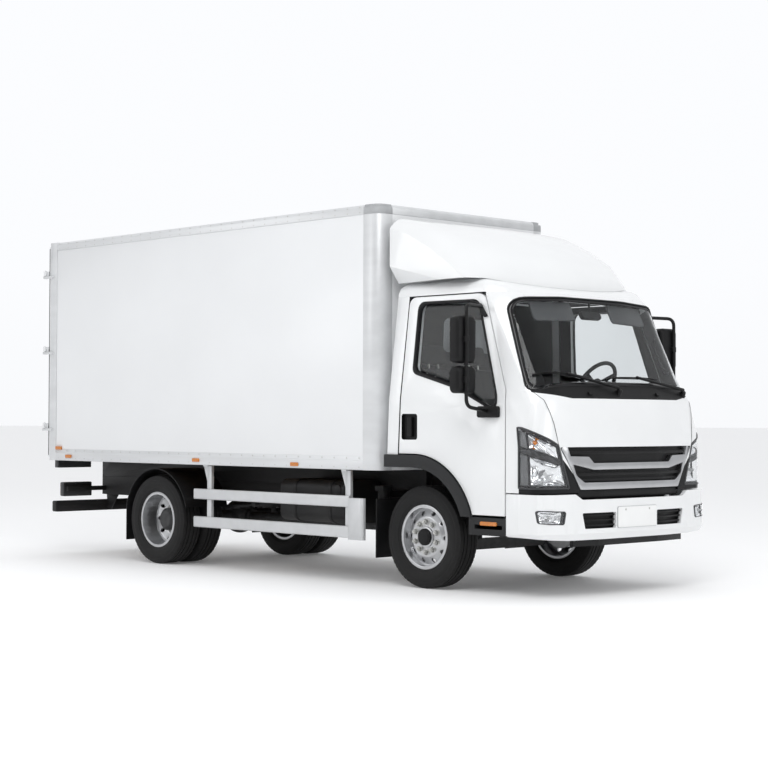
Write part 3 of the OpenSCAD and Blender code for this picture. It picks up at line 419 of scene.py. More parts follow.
def rounded_box(half_u, half_v, radius, middle):
    """Rounded rectangle about a middle point."""
    u, v = middle
    return rounded([(u - half_u, v - half_v, radius), (u + half_u, v - half_v, radius),
                    (u + half_u, v + half_v, radius), (u - half_u, v + half_v, radius)])


def shares(low, high, count):
    """Even steps between two shares."""
    return [low + (high - low) * k / count for k in range(count + 1)]


# The cab's curved skin

# back end of a plan's flank, and radius where the flat of the face starts to fall back
FLANK_END = -2.4
FACE_BEND = 0.9


def bow_path(half, flat, corner):
    """Half plan of the bowed nose from the middle to the flank: across and forward."""
    back, wide, deep, bend = corner
    table = [(half, FLANK_END, 0), (half, -back, bend), (half - wide, -deep, bend)]
    table += [(flat, 0, FACE_BEND), (0, 0, 0)]
    return divided(rounded(table, 10), 0.02, closed=False)[::-1]


PLANS = {"nose": bow_path(CAB_HALF, NOSE_FLAT, NOSE_CORNER),
         "screen": bow_path(CAB_HALF, SCREEN_FLAT, SCREEN_CORNER),
         "bumper": bow_path(BUMPER_HALF, BUMPER_FLAT, BUMPER_CORNER)}


def row_at(rows, column, value):
    """Row of a table at a value of one rising column, filled in between its rows."""
    for low, high in zip(rows, rows[1:]):
        if value <= high[column] and high[column] > low[column]:
            part = (value - low[column]) / (high[column] - low[column])
            return [a + (b - a) * part for a, b in zip(low, high)]
    return rows[-1]


def bow(y, plan="nose"):
    """How far forward the nose reaches at a distance from the centre line, which is nothing or less."""
    return row_at(PLANS[plan], 0, abs(y))[1]


def screen_point(y, up, out=0.0):
    """Point on the windscreen's slope, measured up the slope and out from the skin."""
    ahead = bow(y, "screen") + out
    return Vector((SCREEN_NOSE + ahead * math.cos(SCREEN_LEAN) - up * math.sin(SCREEN_LEAN), y,
                   COWL_Z + ahead * math.sin(SCREEN_LEAN) + up * math.cos(SCREEN_LEAN)))


def front_point(y, z, out):
    """Point on the cab's front at a height, on the panel or on the windscreen's slope above it."""
    panel = Vector((NOSE + bow(y) + out - max(0.0, z - SLOPE_Z) * SLOPE, y, z))
    up = (z - COWL_Z - bow(y, "screen") * math.sin(SCREEN_LEAN)) / math.cos(SCREEN_LEAN)
    slope = screen_point(y, up, out)
    return panel if panel.x < slope.x else slope


def running(path):
    """Path with the length so far added to each point."""
    length = 0.0
    found = []
    for i, (u, v) in enumerate(path):
        if i:
            length += math.hypot(u - path[i - 1][0], v - path[i - 1][1])
        found.append((u, v, length))
    return found


def corner_run(corner):
    """Plan of a nose corner from beside the grille to the flank: across, forward and length so far."""
    path = [p for p in bow_path(CAB_HALF, NOSE_FLAT, corner) if p[0] > SQUARE_START and p[1] > SQUARE_END]
    return running([(SQUARE_START, path[0][1])] + path + [(CAB_HALF, SQUARE_END)])


ROUND_RUN = corner_run(NOSE_CORNER)
SQUARE_RUN = corner_run(SQUARE_CORNER)


def faded(value, full, none):
    """Share that falls smoothly from one to nothing between two values."""
    part = min(1.0, max(0.0, (value - none) / (full - none)))
    return part * part * (3 - 2 * part)


def squared(point, nose=NOSE, half=CAB_HALF):
    """Moves a point of the rounded nose corner to the squarer corner of the photograph, less so higher up."""
    sign = math.copysign(1, point.y)
    spot = Vector((abs(point.y) - half + CAB_HALF, point.x - nose + max(0.0, point.z - SLOPE_Z) * SLOPE))
    if spot.x <= SQUARE_START or spot.y <= SQUARE_END:
        return point
    best = None
    for (y0, f0, l0), (y1, f1, l1) in zip(ROUND_RUN, ROUND_RUN[1:]):
        foot = Vector((y0, f0))
        edge = Vector((y1, f1)) - foot
        part = min(1.0, max(0.0, (spot - foot).dot(edge) / edge.length_squared))
        away = spot - foot - edge * part
        if best is None or away.length < best[0]:
            best = away.length, l0 + (l1 - l0) * part, away.dot(Vector((-edge.y, edge.x)).normalized())
    distance, length, out = best
    length *= SQUARE_RUN[-1][2] / ROUND_RUN[-1][2]
    for (y0, f0, l0), (y1, f1, l1) in zip(SQUARE_RUN, SQUARE_RUN[1:]):
        if length <= l1:
            break
    edge = Vector((y1 - y0, f1 - f0))
    skin = Vector((y0, f0)) + edge * (length - l0) / (l1 - l0)
    moved = skin + Vector((-edge.y, edge.x)).normalized() * out
    shift = (moved - spot) * faded(point.z, SQUARE_FULL_Z, SQUARE_NONE_Z)
    shift *= faded(distance, SQUARE_FULL_DEPTH, SQUARE_NONE_DEPTH)
    return point + Vector((shift.y, sign * shift.x, 0))


def flank(z):
    """Half width of the cab at a height."""
    return CAB_HALF - max(0.0, z - BELT_Z) * FLANK_LEAN / (ROOF_Z - BELT_Z)


# Finishes of the nodes that stay

def dress(names, finish, width=0.0015):
    """Gives nodes a finish and softens their edges."""
    for name in names.split():
        node = NODES[name]
        node.data.materials.clear()
        node.data.materials.append(finish)
        weld = node.modifiers.new("weld", "WELD")
        weld.merge_threshold = 0.00001
        if width:
            soften(node, width, NODE_ANGLE, harden=True)
        smooth(node.data)


def recolour(name, finish, test):
    """Gives a second finish to the faces of a node that pass a test on their middle and direction."""
    mesh = NODES[name].data
    mesh.materials.append(finish)
    index = len(mesh.materials) - 1
    for face in mesh.polygons:
        if test(face.center, face.normal):
            face.material_index = index


# lowest face of the load floor's sheet, and the edges of a door's handle recess
FLOOR_SHEET_Z = 0.914
HANDLE_X = (FRONT_AXLE - 0.13, FRONT_AXLE + 0.037)
HANDLE_Z = (1.085, 1.28)
HANDLE_Y = CAB_HALF - 0.002
# a wheel's hub, columns: axle, how far out its faces lie, radius
FRONT_HUB = (FRONT_AXLE, 0.8171, 0.064)
REAR_HUB = (REAR_AXLE, 0.7255, 0.0965)


def in_recess(middle, _):
    """Whether a face of a door lies in its handle recess."""
    in_outline = HANDLE_X[0] < middle.x < HANDLE_X[1] and HANDLE_Z[0] < middle.z < HANDLE_Z[1]
    return in_outline and abs(middle.y) < HANDLE_Y


def in_hub(axle, face, radius):
    """Test for the faces of a wheel's hub."""
    return lambda c, n: abs(c.y) > face and math.hypot(c.x - axle, c.z - AXLE_Z) < radius


dress("cab_roof cab_pillars cab_front cab_back_wall door_left door_right roof_deflector bumper", PAINT)
dress("box_walls box_front_wall box_roof rear_door_left rear_door_right", PANEL)
dress("box_rails box_posts rear_frame", ALLOY)
dress("side_guards", SILVER, 0.003)
dress("underrun_bar", CHASSIS, 0.003)
dress("corner_caps", CAP, 0.003)
dress("cowl grille bumper_inserts", BLACK)
dress("arch_flares cab_floor", GREY)
dress("mudguards", BLACK)
dress("frame_rails crossmembers battery_box fuel_tank silencer filter_can", CHASSIS)
dress("front_axle rear_axle leaf_springs engine knuckle_left knuckle_right tie_rod tow_eye", CAST)
dress("grille_frame", SATIN, 0.003)
dress("box_floor", PLYWOOD)
dress("dashboard", DASH, 0.004)
dress("steering_wheel", DASH, 0.0)
dress("tail_lamps marker_lamps", BEZEL)
dress("rim_front_left rim_front_right rims_rear_left rims_rear_right", WHEEL, 0.001)

# faces inside the cab are told by the way they look
for side, sign in SIDES.items():
    recolour(f"door_{side}", DASH, lambda c, n: n.y * sign < -0.3)
    recolour(f"door_{side}", BLACK, in_recess)
    recolour(f"rim_front_{side}", BLACK, in_hub(*FRONT_HUB))
    recolour(f"rims_rear_{side}", CAST, in_hub(*REAR_HUB))
recolour("box_floor", CHASSIS, lambda c, n: c.z < FLOOR_SHEET_Z)
recolour("cab_back_wall", DASH, lambda c, n: n.x > 0.3)
recolour("cab_roof", LINING, lambda c, n: n.z < -0.3 and c.z < ROOF_Z - 0.03)
recolour("cab_pillars", LINING, lambda c, n: n.x < -0.3 or n.y * c.y < -0.2)
recolour("cab_front", BLACK, lambda c, n: n.x < -0.5)
recolour("marker_lamps", AMBER, lambda c, n: True)


# Tyres and wheel nuts

FRONT_TYRE_Y = 0.745
REAR_PAIR_Y = 0.712
TWIN_OFFSET = 0.1175
TYRE_STEPS = 240
# half a tyre's profile, columns: distance from its middle, radius
TYRE_WALL = [(0.076, 0.2355), (0.084, 0.238), (0.0885, 0.246), (0.0925, 0.258), (0.0965, 0.262),
             (0.0995, 0.278), (0.1022, 0.298), (0.1025, 0.305), (0.1005, 0.322), (0.0985, 0.330),
             (0.0995, 0.334), (0.0975, 0.344), (0.0925, 0.357)]
TYRE_SHOULDER = [(0.088, 0.3655), (0.0865, 0.3705), (0.078, 0.3735), (0.062, 0.375)]
# columns: outer edge, inner edge
GROOVES = [(0.060, 0.052), (0.026, 0.018)]
# cuts in the shoulders
NOTCH = 0.003
NOTCH_EVERY = 4
NOTCH_Y = 0.0625
NOTCH_RADIUS = 0.35
NUTS = 10
NUT_CIRCLE = 0.1125
NUT_ACROSS = 0.032
NUT_HEIGHT = 0.026
# columns: body, axle, where its nuts sit
WHEELS = [("front_wheel", FRONT_AXLE, 0.805), ("rear_wheels", REAR_AXLE, 0.725)]


def tyre(bm, centre_x, centre_y):
    """Road tyre with four grooves, notched shoulders and ringed walls."""
    half = TYRE_WALL + TYRE_SHOULDER
    for outer, inner in GROOVES:
        half += [(outer, 0.375), (outer - 0.001, 0.365), (inner + 0.001, 0.365), (inner, 0.3755)]
    profile = half + [(-y, radius) for y, radius in half[::-1]]
    rows = []
    for k in range(TYRE_STEPS):
        turn = 2 * math.pi * k / TYRE_STEPS
        row = []
        for y, radius in profile:
            if k % NOTCH_EVERY == 0 and abs(y) > NOTCH_Y and radius > NOTCH_RADIUS:
                radius -= NOTCH
            row.append((centre_x + radius * math.cos(turn), centre_y + y, AXLE_Z + radius * math.sin(turn)))
        rows.append(row)
    grid(bm, rows, closed_u=True, closed_v=True)


for side, sign in SIDES.items():
    bm = bmesh.new()
    tyre(bm, FRONT_AXLE, sign * FRONT_TYRE_Y)
    piece(bm, f"front_tyre_{side}", f"front_wheel_{side}", RUBBER, "tyre", [f"tyre_front_{side}"], angle=28)
    bm = bmesh.new()
    for middle in (REAR_PAIR_Y - TWIN_OFFSET, REAR_PAIR_Y + TWIN_OFFSET):
        tyre(bm, REAR_AXLE, sign * middle)
    piece(bm, f"rear_tyre_pair_{side}", f"rear_wheels_{side}", RUBBER, "tyre", [f"tyres_rear_{side}"],
          angle=28)
    for wheel, axle, face in WHEELS:
        bm = bmesh.new()
        for k in range(NUTS):
            turn = 2 * math.pi * (k + 0.5) / NUTS
            spot = (axle + NUT_CIRCLE * math.cos(turn), sign * face, AXLE_Z + NUT_CIRCLE * math.sin(turn))
            nut(bm, spot, (0, sign, 0), NUT_ACROSS, NUT_HEIGHT)
        piece(bm, f"wheel_nuts_{wheel}_{side}", f"{wheel}_{side}", ZINC, "wheel", angle=30)


# Headlamps and fog lamps

LAMP_LOW = 0.762
LAMP_INNER = 0.657
LAMP_SHOULDER = 0.748
LAMP_REAR = -0.265
# upper edge of a headlamp, columns: across, up
LAMP_TOP = [(LAMP_SHOULDER, 1.062), (0.92, 1.182), (1.0, 1.2)]
LAMP_PLAN = running([p for p in PLANS["nose"] if p[0] >= LAMP_INNER and p[1] >= LAMP_REAR])
LAMP_LENGTH = LAMP_PLAN[-1][2]
LAMP_COLUMNS = 48
LAMP_ROWS = 24
# parts of a headlamp, as shares of its length or its height
LAMP_WHOLE = (0.008, 0.992)
LAMP_STRIP = (0.79, 0.992)
LAMP_CELL = (0.05, 0.76)
LOWER_CELL = (0.05, 0.555)
UPPER_CELL = (0.675, 0.94)
DIVIDER = (0.575, 0.655)
# depths under the skin
LENS_DEPTH = 0.003
DIVIDER_DEPTH = 0.008
CELL_DEPTH = 0.012
HOUSING_EDGE = 0.004
HOUSING_DEPTH = 0.09
FLUTES = 4.5
FLUTE_DEPTH = 0.004
# columns: piece, share of the length, share of the height, depth, radius, length, finish, slot
LAMP_BULBS = [("headlamp_bulb", 0.40, 0.30, 0.068, 0.012, 0.04, OPAL, "lamp"),
              ("indicator_bulb", 0.58, 0.82, 0.044, 0.016, 0.036, AMBER, "amber_lens")]


def lamp_point(sign, along, up, depth):
    """Point in a headlamp: share of its length, share of its height, depth along its aim."""
    inner = (LAMP_SHOULDER - LAMP_INNER) * up
    y, forward, _ = row_at(LAMP_PLAN, 2, inner + (LAMP_LENGTH - inner) * along)
    top = row_at(LAMP_TOP, 0, max(y, LAMP_SHOULDER))[1]
    z = LAMP_LOW + (top - LAMP_LOW) * up
    skin = Vector((NOSE + forward - max(0.0, z - SLOPE_Z) * SLOPE, sign * y, z))
    return skin - lamp_aim(sign) * depth


def lamp_aim(sign):
    """Direction in which a headlamp looks."""
    return Vector((0.88, sign * 0.475, 0))


def lamp_sheet(sign, along, up, depth):
    """Points over part of a headlamp; depth is a number or depends on the place, from -1 to 1 both ways."""
    rows = []
    for u, share in zip(shares(-1, 1, LAMP_COLUMNS), shares(*along, LAMP_COLUMNS)):
        row = []
        for v, height in zip(shares(-1, 1, LAMP_ROWS), shares(*up, LAMP_ROWS)):
            row.append(lamp_point(sign, share, height, depth(u, v) if callable(depth) else depth))
        rows.append(row)
    return rows


def housing_depth(u, v):
    """Depth of a headlamp's housing at a place."""
    return HOUSING_EDGE + HOUSING_DEPTH * (1 - u ** 8) * (1 - v ** 8)


def fluted_bowl(deep, lean):
    """Depth of a hollow reflector with slanting flutes."""
    def depth(u, v):
        hollow = (1 - abs(u) ** 4) * (1 - abs(v) ** 4)
        return CELL_DEPTH + hollow * (deep + FLUTE_DEPTH * abs(math.sin(FLUTES * (u + lean * v))))
    return depth


def rim_of(rows):
    """Closed path round the edge of a sheet of points."""
    return rows[0] + [row[-1] for row in rows[1:-1]] + rows[-1][::-1] + [row[0] for row in rows[-2:0:-1]]


def bulb(bm, centre, aim, radius, length):
    """Lamp bulb with a rounded tip."""
    profile = [(0, radius * 0.6), (length * 0.15, radius)]
    profile += [(length - radius + radius * math.sin(t), radius * math.cos(t))
                for t in (0, 0.4, 0.8, 1.2, math.pi / 2)]
    spun(bm, centre, aim, profile, 16)


for side, sign in SIDES.items():
    lens_rows = lamp_sheet(sign, LAMP_WHOLE, LAMP_WHOLE, LENS_DEPTH)
    sheet_piece(lens_rows, f"headlamp_lens_{side}", "cab", LENS, "lamp", thick=0.003)
    housing_rows = lamp_sheet(sign, LAMP_WHOLE, LAMP_WHOLE, housing_depth)
    sheet_piece(housing_rows, f"headlamp_housing_{side}", "cab", BEZEL, "lamp", ["front_lamps"], thick=0.002)
    bm = bmesh.new()
    tube(bm, rim_of(lens_rows), 0.006, 8, closed=True)
    grid(bm, lamp_sheet(sign, LAMP_WHOLE, DIVIDER, DIVIDER_DEPTH))
    for cell in (LOWER_CELL, UPPER_CELL):
        tube(bm, rim_of(lamp_sheet(sign, LAMP_CELL, cell, CELL_DEPTH)), 0.006, 6, closed=True)
    piece(bm, f"headlamp_bezel_{side}", "cab", BEZEL, "lamp", thick=0.003)
    bm = bmesh.new()
    for cell in (LOWER_CELL, UPPER_CELL):
        grid(bm, lamp_sheet(sign, LAMP_STRIP, cell, CELL_DEPTH))
    piece(bm, f"headlamp_outer_strip_{side}", "cab", LAMP_GREY, "lamp", thick=0.003)
    bm = bmesh.new()
    grid(bm, lamp_sheet(sign, LAMP_CELL, LOWER_CELL, fluted_bowl(0.05, 0.8)))
    grid(bm, lamp_sheet(sign, LAMP_CELL, UPPER_CELL, fluted_bowl(0.03, -0.6)))
    piece(bm, f"headlamp_reflectors_{side}", "cab", REFLECTOR, "bright", angle=60, thick=0.002)
    for name, along, up, depth, radius, length, finish, slot in LAMP_BULBS:
        bm = bmesh.new()
        bulb(bm, lamp_point(sign, along, up, depth), lamp_aim(sign), radius, length)
        piece(bm, f"{name}_{side}", "cab", finish, slot)

# corners of a fog lamp, columns: across, up, radius
FOG_CORNERS = [(0.735, 0.515, 0.018), (0.885, 0.528, 0.018), (0.895, 0.618, 0.018), (0.72, 0.608, 0.018)]
FOG_MIDDLE = Vector((0.809, 0.567))
FOG_DEPTH = 0.003
# rings of its housing, lens and reflector, columns: share of the outline, depth under the lamp's face
FOG_HOUSING = [(0.995, 0.004), (0.985, -0.004), (0.90, -0.004), (0.86, 0.01), (0.86, 0.06), (0.02, 0.06)]
FOG_LENS = [(size, -0.006 * (1 - size * size)) for size in shares(0.88, 0.02, 6)]
FOG_BOWL = [(size, 0.006 + 0.034 * (1 - size * size) + 0.003 * abs(math.sin(9 * size)))
            for size in shares(0.85, 0.02, 30)]
# columns: part, rings, finish, slot, angle of its sharp edges, thickness
FOG_SHEETS = [("housing", FOG_HOUSING, BEZEL, "lamp", 38, 0.002), ("lens", FOG_LENS, LENS, "lamp", 38, 0.003),
              ("reflector", FOG_BOWL, REFLECTOR, "bright", 60, 0.002)]
FOG_BULB_DEPTH = 0.045


def fog_point(spot, sign, depth):
    """Point of a fog lamp at a depth under its face."""
    return Vector((BUMPER_NOSE + bow(spot.x, "bumper") - FOG_DEPTH - depth, sign * spot.x, spot.y))


def fog_sheet(sign, rings):
    """Rings of points in a fog lamp."""
    outline = [Vector(p) - FOG_MIDDLE for p in divided(rounded(FOG_CORNERS), 0.01)]
    return [[fog_point(FOG_MIDDLE + p * size, sign, depth) for p in outline] for size, depth in rings]


for side, sign in SIDES.items():
    for part, rings, finish, slot, angle, thick in FOG_SHEETS:
        sheet_piece(fog_sheet(sign, rings), f"fog_lamp_{part}_{side}", "cab", finish, slot, closed=True,
                    angle=angle, thick=thick)
    bm = bmesh.new()
    bulb(bm, fog_point(FOG_MIDDLE, sign, FOG_BULB_DEPTH), (0.95, sign * 0.31, 0), 0.008, 0.03)
    piece(bm, f"fog_lamp_bulb_{side}", "cab", OPAL, "lamp")


# Glass, its edges and its seals

PANE_COLUMNS = 72
PANE_ROWS = 18
GLASS_INSET = 0.001
GLASS_DEPTH = 0.008
WINDOW_DEPTH = 0.025
BACK_INSET = 0.018
BACK_FOOT_Z = 0.4
BACK_LEAN = 0.078 / (ROOF_Z - 0.405)
REAR_WINDOW = rounded_box(0.429, 0.1265, 0.05, (0, 1.8775))
SCREEN_RADIUS_LOW = 0.07
SCREEN_RADIUS_HIGH = 0.08
SCREEN_MIDDLE = Vector((0.0, 0.45))
SCREEN_TURNS = 240
SCREEN_BANDS = (0.001, 0.015, 0.030)
BAND_DEPTH = 0.0035
WINDOW_MIDDLE = Vector((0.38, 1.75))
WINDOW_TURNS = 160
# columns: inset from the window's edge, depth under the skin
WINDOW_SEAL = [(-0.016, 0.0), (-0.013, -0.004), (-0.002, -0.004), (0.004, 0.004), (0.006, 0.026)]


def screen_outline(shrink):
    """Windscreen outline on its slope, shrunk on all sides."""
    low, high = SCREEN_HALF_LOW - shrink, SCREEN_HALF_HIGH - shrink
    bottom, top = SCREEN_LOW + shrink, SCREEN_HIGH - shrink
    table = [(low, bottom, SCREEN_RADIUS_LOW), (high, top, SCREEN_RADIUS_HIGH)]
    table += [(-y, up, radius) for y, up, radius in table[::-1]]
    return divided(rounded(table), 0.04)


def window_outline(shrink):
    """Door window outline, columns: forward of the front axle, up, radius."""
    table = [(-0.017 + shrink, 1.589 + shrink, 0.05), (0.42, 1.47 + shrink, 0.3),
             (0.792 - shrink, 1.296 + shrink, 0.05), (0.8 - shrink, 1.4, 0.06),
             (0.58 - shrink, 2.075 - shrink, 0.09), (0.005 + shrink, 2.08 - shrink, 0.06)]
    return divided(rounded(table), 0.03)


def crossings(outline, u):
    """Lowest and highest places where a line at u crosses an outline."""
    hits = []
    for (u0, v0), (u1, v1) in zip(outline, outline[1:] + outline[:1]):
        if u0 != u1 and min(u0, u1) <= u <= max(u0, u1):
            hits.append(v0 + (v1 - v0) * (u - u0) / (u1 - u0))
    return min(hits), max(hits)


def pane(outline, place):
    """Rows of points that fill an outline, closer together near its ends."""
    low, high = min(u for u, v in outline) + 0.0005, max(u for u, v in outline) - 0.0005
    rows = []
    for i in range(PANE_COLUMNS + 1):
        u = (low + high) / 2 - (high - low) / 2 * math.cos(math.pi * i / PANE_COLUMNS)
        bottom, top = crossings(outline, u)
        rows.append([place(u, v) for v in shares(bottom, top, PANE_ROWS)])
    return rows


def back_point(y, z):
    """Point in the middle of the rear window's glass, which leans as the back wall does."""
    return Vector((CAB_BACK + BACK_INSET + (z - BACK_FOOT_Z) * BACK_LEAN, y, z))


def window_point(x, z, sign, depth):
    """Point in a door at a depth under its skin, measured forward of the front axle and up."""
    return Vector((FRONT_AXLE + x, sign * (flank(z) - depth), z))


def matched(outline, middle, count):
    """Outline sampled at equal turns about a middle point, so that two outlines pair up."""
    found = []
    for k in range(count):
        ray = Vector((math.cos(2 * math.pi * k / count), math.sin(2 * math.pi * k / count)))
        for i, a in enumerate(outline):
            p, q = Vector(a) - middle, Vector(outline[(i + 1) % len(outline)]) - middle
            edge = q - p
            det = ray.x * -edge.y + edge.x * ray.y
            if abs(det) < 1e-9:
                continue
            reach = (p.x * -edge.y + edge.x * p.y) / det
            part = (ray.x * p.y - ray.y * p.x) / det
            if reach > 0 and -1e-9 <= part <= 1 + 1e-9:
                found.append(tuple(middle + ray * reach))
                break
    return found


rows = pane(screen_outline(GLASS_INSET), lambda y, up: screen_point(y, up, -GLASS_DEPTH))
sheet_piece(rows, "windscreen", "cab", GLASS, "glass", ["cab_glass"], thick=0.006)
sheet_piece(pane(REAR_WINDOW, back_point), "rear_window", "cab", GLASS, "glass", thick=0.006)
for side, sign in SIDES.items():
    rows = pane(window_outline(GLASS_INSET), lambda x, z: window_point(x, z, sign, WINDOW_DEPTH))
    sheet_piece(rows, f"door_window_{side}", f"cab_door_{side}", GLASS, "glass", [f"door_glass_{side}"],
                thick=0.005)
bands = [matched(screen_outline(shrink), SCREEN_MIDDLE, SCREEN_TURNS) for shrink in SCREEN_BANDS]
rows = [[screen_point(y, up, -BAND_DEPTH) for y, up in band] for band in bands]
sheet_piece(rows, "windscreen_black_edge", "cab", GLOSS, "glass", closed=True, thick=0.0006)
bm = bmesh.new()
seal = matched(screen_outline(0.002), SCREEN_MIDDLE, SCREEN_TURNS)
tube(bm, [screen_point(y, up) for y, up in seal], 0.006, 8, closed=True)
piece(bm, "windscreen_seal", "cab", SEAL, "trim")
for side, sign in SIDES.items():
    rows = []
    for inset, depth in WINDOW_SEAL:
        ring = matched(window_outline(inset), WINDOW_MIDDLE, WINDOW_TURNS)
        rows.append([window_point(x, z, sign, depth) for x, z in ring])
    sheet_piece(rows, f"door_window_seal_{side}", f"cab_door_{side}", SEAL, "trim", closed=True, thick=0.002)


# Wipers and washer nozzles

BLADE_STEPS = 14
# heights above the glass of a blade, of its spine's ends and of the spine's arch
BLADE_LIFT = 0.006
SPINE_LIFT = 0.012
SPINE_ARCH = 0.014
# columns: blade's free end, blade's pivot end, arm pivot, arm knee, where the arm holds the blade
WIPERS = [((-0.83, 0.222), (-0.38, 0.155), (-0.093, 0.041), (-0.13, 0.065), (-0.60, 0.185)),
          ((-0.181, 0.156), (0.413, 0.157), (0.723, 0.062), (0.69, 0.08), (0.14, 0.157))]
# profile of the cap on a pivot, columns: along its axis, radius
PIVOT_CAP = [(0, 0.02), (0.05, 0.02), (0.058, 0.014), (0.058, 0)]
NOZZLES = [(-0.408, 0.036), (0.356, 0.036)]


def blade(bm, start, end):
    """Wiper blade with its spine along the glass, from and to points across and up the screen."""
    spots = [Vector(start).lerp(Vector(end), share) for share in shares(0, 1, BLADE_STEPS)]
    tube(bm, [screen_point(p.x, p.y, BLADE_LIFT) for p in spots], 0.004, 6)
    lifts = [SPINE_LIFT + SPINE_ARCH * math.sin(math.pi * share) for share in shares(0, 1, BLADE_STEPS)]
    tube(bm, [screen_point(p.x, p.y, lift) for p, lift in zip(spots, lifts)], 0.0055, 6, flat=1.6)


def wiper_arm(bm, pivot, knee, hold):
    """Arm from its pivot cap on the cowl to the middle of the blade."""
    base = screen_point(*pivot, 0.012)
    tube(bm, [base, screen_point(*knee, 0.04), screen_point(*hold, 0.032)], 0.009, 8, flat=1.5)
    spun(bm, base - Vector((0.02, 0, 0.03)), (0.43, 0, 0.9), PIVOT_CAP, 16)


bm = bmesh.new()
for free, near, pivot, knee, hold in WIPERS:
    blade(bm, free, near)
    wiper_arm(bm, pivot, knee, hold)
for spot in NOZZLES:
    prism(bm, rounded_box(0.024, 0.012, 0.008, spot), screen_point, -0.002, 0.014)
piece(bm, "wipers", "cab", BLACK, "black_plastic", bevel=0.001)


# Number plate, step lamps and other small front fittings

PLATE_Z = 0.5535
PLATE_HALF = (0.22, 0.0725)
PLATE_FACE = BUMPER_NOSE + 0.005
PLATE_SCREWS_Y = (-0.135, 0.135)
# seam between the front panel and the corner panel, columns: across, up
PANEL_SEAM = [(0.86, 1.44), (0.815, 1.372), (0.79, 1.29), (0.77, 1.215), (0.757, 1.13), (0.748, 1.062)]
STEP_LAMP = rounded_box(0.079, 0.014, 0.012, (FRONT_AXLE + 0.734, 0.509))


def facing(u, v, w):
    """Point of an outline that faces forward: across, up and ahead."""
    return w, u, v


def plate(bm, margin, radius, back, front):
    """Flat plate larger than the number plate by a margin, between two distances from its face."""
    outline = rounded_box(PLATE_HALF[0] + margin, PLATE_HALF[1] + margin, radius, (0, PLATE_Z))
    prism(bm, outline, facing, PLATE_FACE + back, PLATE_FACE + front)


bm = bmesh.new()
plate(bm, 0.0025, 0.012, -0.006, 0)
piece(bm, "plate_holder", "cab", CAP, "black_plastic", bevel=0.0006)
bm = bmesh.new()
plate(bm, 0, 0.012, -0.001, 0.002)
plate(bm, -0.007, 0.008, 0.001, 0.003)
piece(bm, "number_plate", "cab", ENAMEL, "paint", bevel=0.0006)
bm = bmesh.new()
for y in PLATE_SCREWS_Y:
    dome(bm, (PLATE_FACE + 0.003, y, PLATE_Z + 0.0525), (1, 0, 0), 0.008, 0.004)
piece(bm, "plate_screws", "cab", ZINC, "bright")
bm = bmesh.new()
for sign in SIDES.values():
    seam = divided(PANEL_SEAM, 0.01, closed=False)
    tube(bm, [front_point(sign * y, z, 0.0002) for y, z in seam], 0.0016, 6)
piece(bm, "front_panel_seams", "cab", SEAL, "trim")
for side, sign in SIDES.items():
    bm = bmesh.new()
    prism(bm, STEP_LAMP, lambda u, v, w: (u, w, v), sign * 0.93, sign * 0.945)
    piece(bm, f"step_lamp_{side}", "cab", AMBER, "amber_lens", bevel=0.003)


# Squarer corners of the nose

BUMPER_TARGET = (BUMPER_NOSE, BUMPER_HALF)
BUMPER_BEVEL_Z = 0.452
BEVEL_LEAN = 0.45
BEVEL_FULL_Y = BUMPER_HALF - 0.046
# crease along the deflector's lower rear edge, which is tucked in under it, in full at its sides
DEFLECTOR_CREASE = (FRONT_AXLE + 0.25, 0, ROOF_Z)
DEFLECTOR_TUCK_SIDE = Vector((0.24, 0, 1)).normalized()
DEFLECTOR_TUCK = 0.8
TUCK_FULL_Y = 0.835
TUCK_NONE_Y = 0.685
# black wedge between a headlamp and the grille frame: a point of its edge, the edge's normal, its inner end
WEDGE_SPOT = (0.66, 0.90)
WEDGE_NORMAL = (-0.76, 0.65)
WEDGE_INNER = 0.5
# how the names of the reshaped pieces start
CAB_FRONT_PIECES = ("headlamp_", "indicator_bulb_", "front_panel_seams", "windscreen", "wipers")
BUMPER_PIECES = "fog_lamp_"


def reshape(made, *target):
    """Squares the nose corners of a piece."""
    for vertex in made.data.vertices:
        vertex.co = squared(vertex.co, *target)


def solid_copy(name):
    """Faces of a node's solid, in the truck's frame."""
    bm = bmesh.new()
    bm.from_mesh(NODES[name].data)
    bm.transform(NODES[name].matrix_world)
    return bm


def creased(bm, spot, normal):
    """Cuts all faces along a plane, and gives the points below it with their distance, which is negative."""
    bmesh.ops.bisect_plane(bm, geom=bm.verts[:] + bm.edges[:] + bm.faces[:], plane_co=spot, plane_no=normal)
    levels = [(vertex, (vertex.co - Vector(spot)).dot(normal)) for vertex in bm.verts]
    return [(vertex, level) for vertex, level in levels if level < -1e-5]


def blacken(bm, test):
    """Gives the faces whose middle passes a test the front panel's second finish, which is black."""
    for face in bm.faces:
        if test(face.calc_center_median()):
            face.material_index = 1


def reshaped_piece(bm, name, slot):
    """Piece that shows a node in its changed shape, with the node's own finishes."""
    finishes = NODES[name].data.materials[:]
    made = piece(bm, f"{name}_shape", "cab", finishes[0], slot, [name], angle=NODE_ANGLE, bevel=0.0015)
    for finish in finishes[1:]:
        made.data.materials.append(finish)
    return made


for name, slot in (("cab_pillars", "paint"), ("cowl", "black_plastic")):
    reshape(reshaped_piece(solid_copy(name), name, slot))
